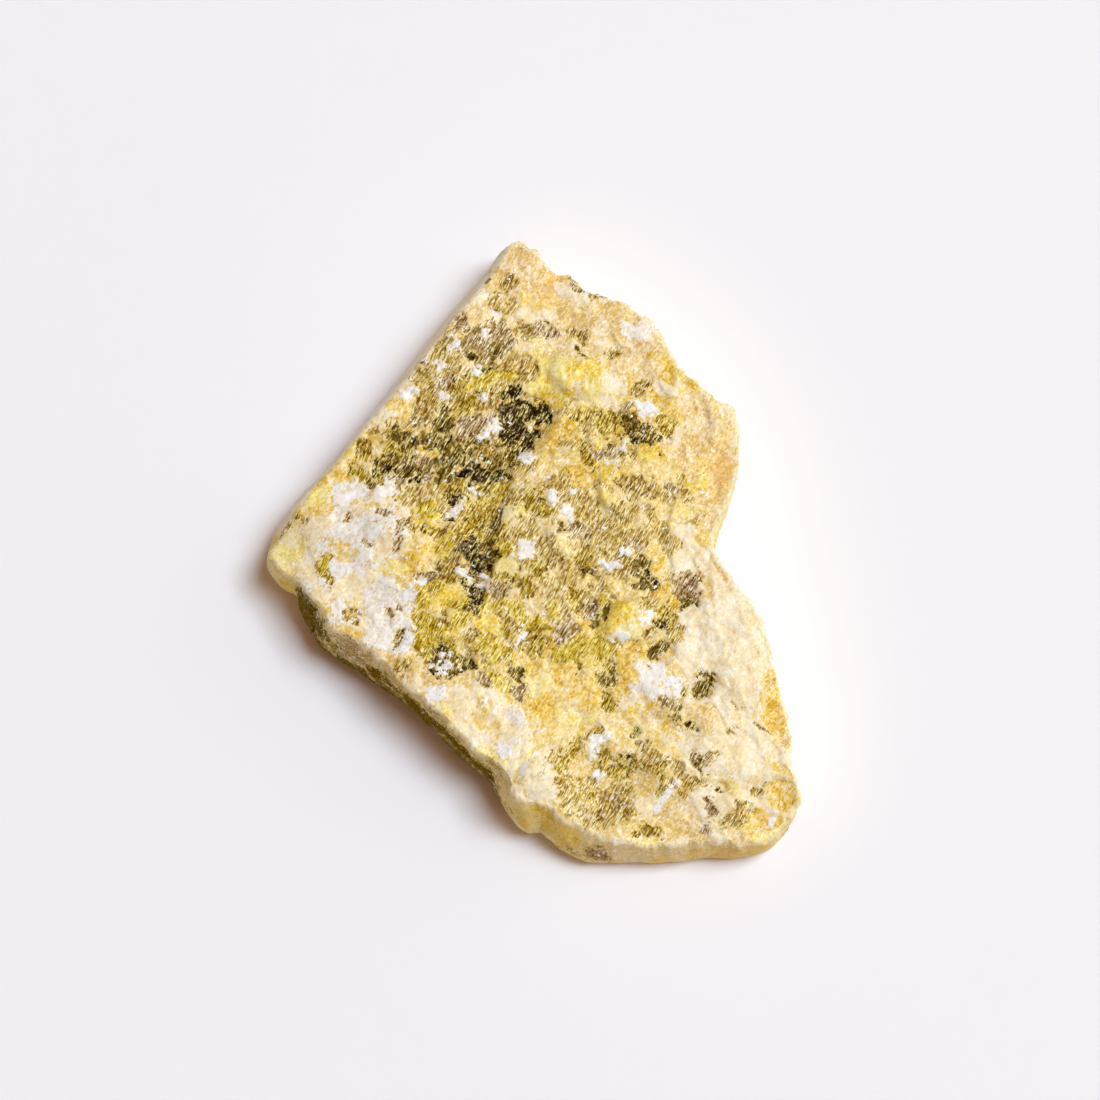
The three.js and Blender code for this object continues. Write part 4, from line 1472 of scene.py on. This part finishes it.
    @staticmethod
    def _shade(tree: bpy.types.NodeTree, habit: Habit, layers: Sequence[tuple],
               contrast: bpy.types.NodeSocket) -> bpy.types.NodeSocket:
        """How bright each spot is within its tint, from 0 to 1.

        Args:
            tree: the material's node tree.
            habit: how the tint's crystals grew.
            layers: needles, glints, grains and blocks.
            contrast: the share of the contrast that each spot keeps.

        Returns:
            The socket with the shade.
        """
        total: Any = -sum(habit.shares) / 2
        for (_, cells), share in zip(layers, habit.shares):
            split = add_node(tree, "ShaderNodeSeparateColor", {}, {"Color": cells.outputs["Color"]})
            total = add_node(tree, "ShaderNodeMath", {"operation": "MULTIPLY_ADD"},
                             {0: split.outputs["Red"], 1: share, 2: total}).outputs[0]
        return add_node(tree, "ShaderNodeMath", {"operation": "MULTIPLY_ADD"},
                        {0: total, 1: contrast, 2: 0.5}).outputs[0]

    def _tints(self, tree: bpy.types.NodeTree, glints: tuple, grains: tuple,
               spots: dict[Habit, bpy.types.NodeSocket]) -> tuple[bpy.types.NodeSocket, ...]:
        """Lay the tints over each other, each with an outline that follows the grains.

        Args:
            tree: the material's node tree.
            glints: the finest round cells.
            grains: the larger round cells.
            spots: how bright each spot is within its tint, for every habit.

        Returns:
            The sockets with the colour, the roughness and the strength of the facets.
        """
        push = add_node(tree, "ShaderNodeVectorMath", {"operation": "ADD"},
                        {0: grains[1].outputs["Color"], 1: glints[1].outputs["Color"]})
        split = add_node(tree, "ShaderNodeSeparateColor", {}, {"Color": push.outputs[0]})
        colour = None
        finish: Any = (SHADES[Tint.STRAW].roughness, SHADES[Tint.STRAW].facets, 0)
        for index, tint in enumerate(Tint):
            shades = SHADES[tint]
            ramp = add_node(tree, "ShaderNodeValToRGB", {}, {"Fac": spots[shades.habit]})
            dark, body, bright = shades.habit.stops
            ramp.color_ramp.elements[0].position = dark
            ramp.color_ramp.elements[0].color = linear(shades.dark)
            ramp.color_ramp.elements[1].position = bright
            ramp.color_ramp.elements[1].color = linear(shades.bright)
            ramp.color_ramp.elements.new(body).color = linear(shades.body)
            if colour is None:
                colour = ramp.outputs["Color"]
                continue
            field = add_node(tree, "ShaderNodeAttribute", {"attribute_name": tint.value}, {})
            channel = ("Red", "Green", "Blue")[index % 3]
            pushed = add_node(tree, "ShaderNodeMath", {"operation": "MULTIPLY_ADD"},
                              {0: split.outputs[channel], 1: self.outline_jitter, 2: field.outputs["Fac"]})
            mask = add_node(tree, "ShaderNodeMapRange", {"clamp": True},
                            {"Value": pushed.outputs[0],
                             "From Min": self.outline_jitter - self.outline_blur,
                             "From Max": self.outline_jitter + self.outline_blur})
            mixed = add_node(tree, "ShaderNodeMix", {"data_type": "RGBA"},
                             {"Factor": mask.outputs["Result"], 6: colour, 7: ramp.outputs["Color"]})
            colour = mixed.outputs[2]
            finish = add_node(tree, "ShaderNodeMix", {"data_type": "VECTOR"},
                              {"Factor": mask.outputs["Result"], 4: finish,
                               5: (shades.roughness, shades.facets, 0)}).outputs[1]
        # painted highlights: white specks that stand in for the glints of tiny facets
        painted_glints = add_node(tree, "ShaderNodeMapRange", {"clamp": True},
                         {"Value": split.outputs["Green"], "From Min": self.painted_glint_start,
                          "From Max": self.painted_glint_start + self.painted_glint_blur})
        colour = add_node(tree, "ShaderNodeMix", {"data_type": "RGBA"},
                          {"Factor": painted_glints.outputs["Result"], 6: colour,
                           7: linear(SHADES[Tint.WHITE].body)}).outputs[2]
        parts = add_node(tree, "ShaderNodeSeparateXYZ", {}, {"Vector": finish})
        return colour, parts.outputs["X"], parts.outputs["Y"]

    def _height(self, tree: bpy.types.NodeTree, *layers: tuple) -> bpy.types.NodeSocket:
        """Height of the facets in millimetres: every cell is a small plane with a tilt of its own.

        Args:
            tree: the material's node tree.
            layers: needles, glints and grains.

        Returns:
            The socket with the height.
        """
        total: Any = 0.0
        for (scaled, cells), size in zip(layers, self.bumps):
            away = add_node(tree, "ShaderNodeVectorMath", {"operation": "SUBTRACT"},
                            {0: scaled.outputs[0], 1: cells.outputs["Position"]})
            tilt = add_node(tree, "ShaderNodeVectorMath", {"operation": "SUBTRACT"},
                            {0: cells.outputs["Color"], 1: (0.5, 0.5, 0.5)})
            plane = add_node(tree, "ShaderNodeVectorMath", {"operation": "DOT_PRODUCT"},
                             {0: away.outputs[0], 1: tilt.outputs[0]})
            total = add_node(tree, "ShaderNodeMath", {"operation": "MULTIPLY_ADD"},
                             {0: plane.outputs["Value"], 1: size, 2: total}).outputs[0]
        return total


# ---------------------------------------------------------------- the studio


@dataclass(frozen=True)
class SoftLight:
    """A square softbox that faces the stone, with angles in degrees, sizes in metres and power in watts."""

    name: str
    azimuth: float
    elevation: float
    distance: float
    size: float
    power: float
    colour: str = "#ffffff"


@dataclass(frozen=True)
class MattPaper:
    """Uncoated white paper: an even ground that takes a soft shadow and gives no glare."""

    name: str = "Paper, matt white"
    colour: str = "#f4f2f3"
    roughness: float = 0.9
    gloss: float = 0.1

    def make(self) -> bpy.types.Material:
        """Build the material.

        Returns:
            The finished material.
        """
        material = bpy.data.materials.new(self.name)
        material.use_nodes = True
        shader = material.node_tree.nodes["Principled BSDF"]
        shader.inputs["Base Color"].default_value = linear(self.colour)
        shader.inputs["Roughness"].default_value = self.roughness
        shader.inputs["Specular IOR Level"].default_value = self.gloss
        return material


@dataclass
class Studio:
    """A plain pale floor, soft light from the right, and the camera that looks down on the stone."""

    # the point that the camera looks at, and how far and how high over it the camera stands, in millimetres
    # and degrees
    target: tuple[float, float, float] = (1.34, -0.80, 5.5)
    distance: float = 204.0
    elevation: float = 78.0
    lens: float = 100.0
    sensor: float = 36.0
    # the floor is flat to the first radius, then sweeps up to the second; in metres
    floor_radii: tuple[float, float] = (1.5, 2.0)
    floor_sides: int = 96
    floor_steps: int = 9
    floor_finish: MattPaper = MattPaper()
    world_colour: str = "#ffc49a"
    world_strength: float = 0.02
    lights: tuple[SoftLight, ...] = (
        SoftLight("key", 15.0, 66.0, 3.0, 1.2, 86.5, "#e1f1ff"),
        SoftLight("side", 15.0, 38.0, 3.0, 2.7, 20.4, "#fff2e6"),
        SoftLight("fill", 0.0, 90.0, 2.0, 3.0, 12.8, "#ffb26d"),
    )

    def make(self) -> None:
        """Set up the floor, the lights, the world and the camera."""
        self._floor()
        self._world()
        for light in self.lights:
            self._light(light)
        self._camera()
        bpy.context.scene.view_settings.view_transform = "Standard"

    def _floor(self) -> None:
        """Lay the floor that the stone rests on, and sweep it up all round behind the stone."""
        flat, wall = self.floor_radii
        bend = wall - flat
        steps = np.linspace(0, math.pi / 2, self.floor_steps)
        profile = [(flat + bend * math.sin(step), bend * (1 - math.cos(step))) for step in steps]
        sides = self.floor_sides
        points = [(0, 0, 0)]
        for radius, height in profile:
            turns = (2 * math.pi * side / sides for side in range(sides))
            points += [(radius * math.cos(turn), radius * math.sin(turn), height) for turn in turns]
        faces = [(0, 1 + side, 1 + (side + 1) % sides) for side in range(sides)]
        for ring, side in product(range(len(profile) - 1), range(sides)):
            first = 1 + ring * sides + side
            second = 1 + ring * sides + (side + 1) % sides
            faces.append((first, first + sides, second + sides, second))
        mesh = bpy.data.meshes.new("floor")
        mesh.from_pydata(points, [], faces)
        mesh.polygons.foreach_set("use_smooth", [True] * len(mesh.polygons))
        mesh.materials.append(self.floor_finish.make())
        floor = bpy.data.objects.new("floor", mesh)
        bpy.context.scene.collection.objects.link(floor)

    def _world(self) -> None:
        """Fill the room with dim even light."""
        world = bpy.data.worlds.new("studio")
        world.use_nodes = True
        background = world.node_tree.nodes["Background"]
        background.inputs["Color"].default_value = linear(self.world_colour)
        background.inputs["Strength"].default_value = self.world_strength
        bpy.context.scene.world = world

    def _light(self, light: SoftLight) -> None:
        """Stand one softbox in place, facing the stone.

        Args:
            light: the softbox.
        """
        data = bpy.data.lights.new(light.name, "AREA")
        data.shape = "SQUARE"
        data.size = light.size
        data.energy = light.power
        data.color = linear(light.colour)[:3]
        lamp = bpy.data.objects.new(light.name, data)
        azimuth, elevation = math.radians(light.azimuth), math.radians(light.elevation)
        away = Vector((math.cos(azimuth) * math.cos(elevation), math.sin(azimuth) * math.cos(elevation),
                       math.sin(elevation)))
        lamp.location = away * light.distance
        lamp.rotation_euler = away.to_track_quat("Z", "Y").to_euler()
        bpy.context.scene.collection.objects.link(lamp)

    def _camera(self) -> None:
        """Stand the camera over the stone."""
        data = bpy.data.cameras.new("camera")
        data.lens = self.lens
        data.sensor_width = self.sensor
        camera = bpy.data.objects.new("camera", data)
        lean = math.radians(self.elevation)
        back = Vector((0, -math.cos(lean), math.sin(lean)))
        camera.location = (Vector(self.target) + back * self.distance) * MM
        camera.rotation_euler = (math.pi / 2 - lean, 0, 0)
        bpy.context.scene.collection.objects.link(camera)
        bpy.context.scene.camera = camera


def main() -> None:
    """Build the stone and the studio round it."""
    logging.basicConfig(level=logging.INFO, format="%(name)s: %(message)s")
    stone = Slab().make(BrokenCrystal())
    log.info("%s: %d points, %d triangles", stone.name, len(stone.data.vertices), len(stone.data.polygons))
    Studio().make()
    log.info("studio: floor, lights and camera")


if __name__ == "__main__":
    main()
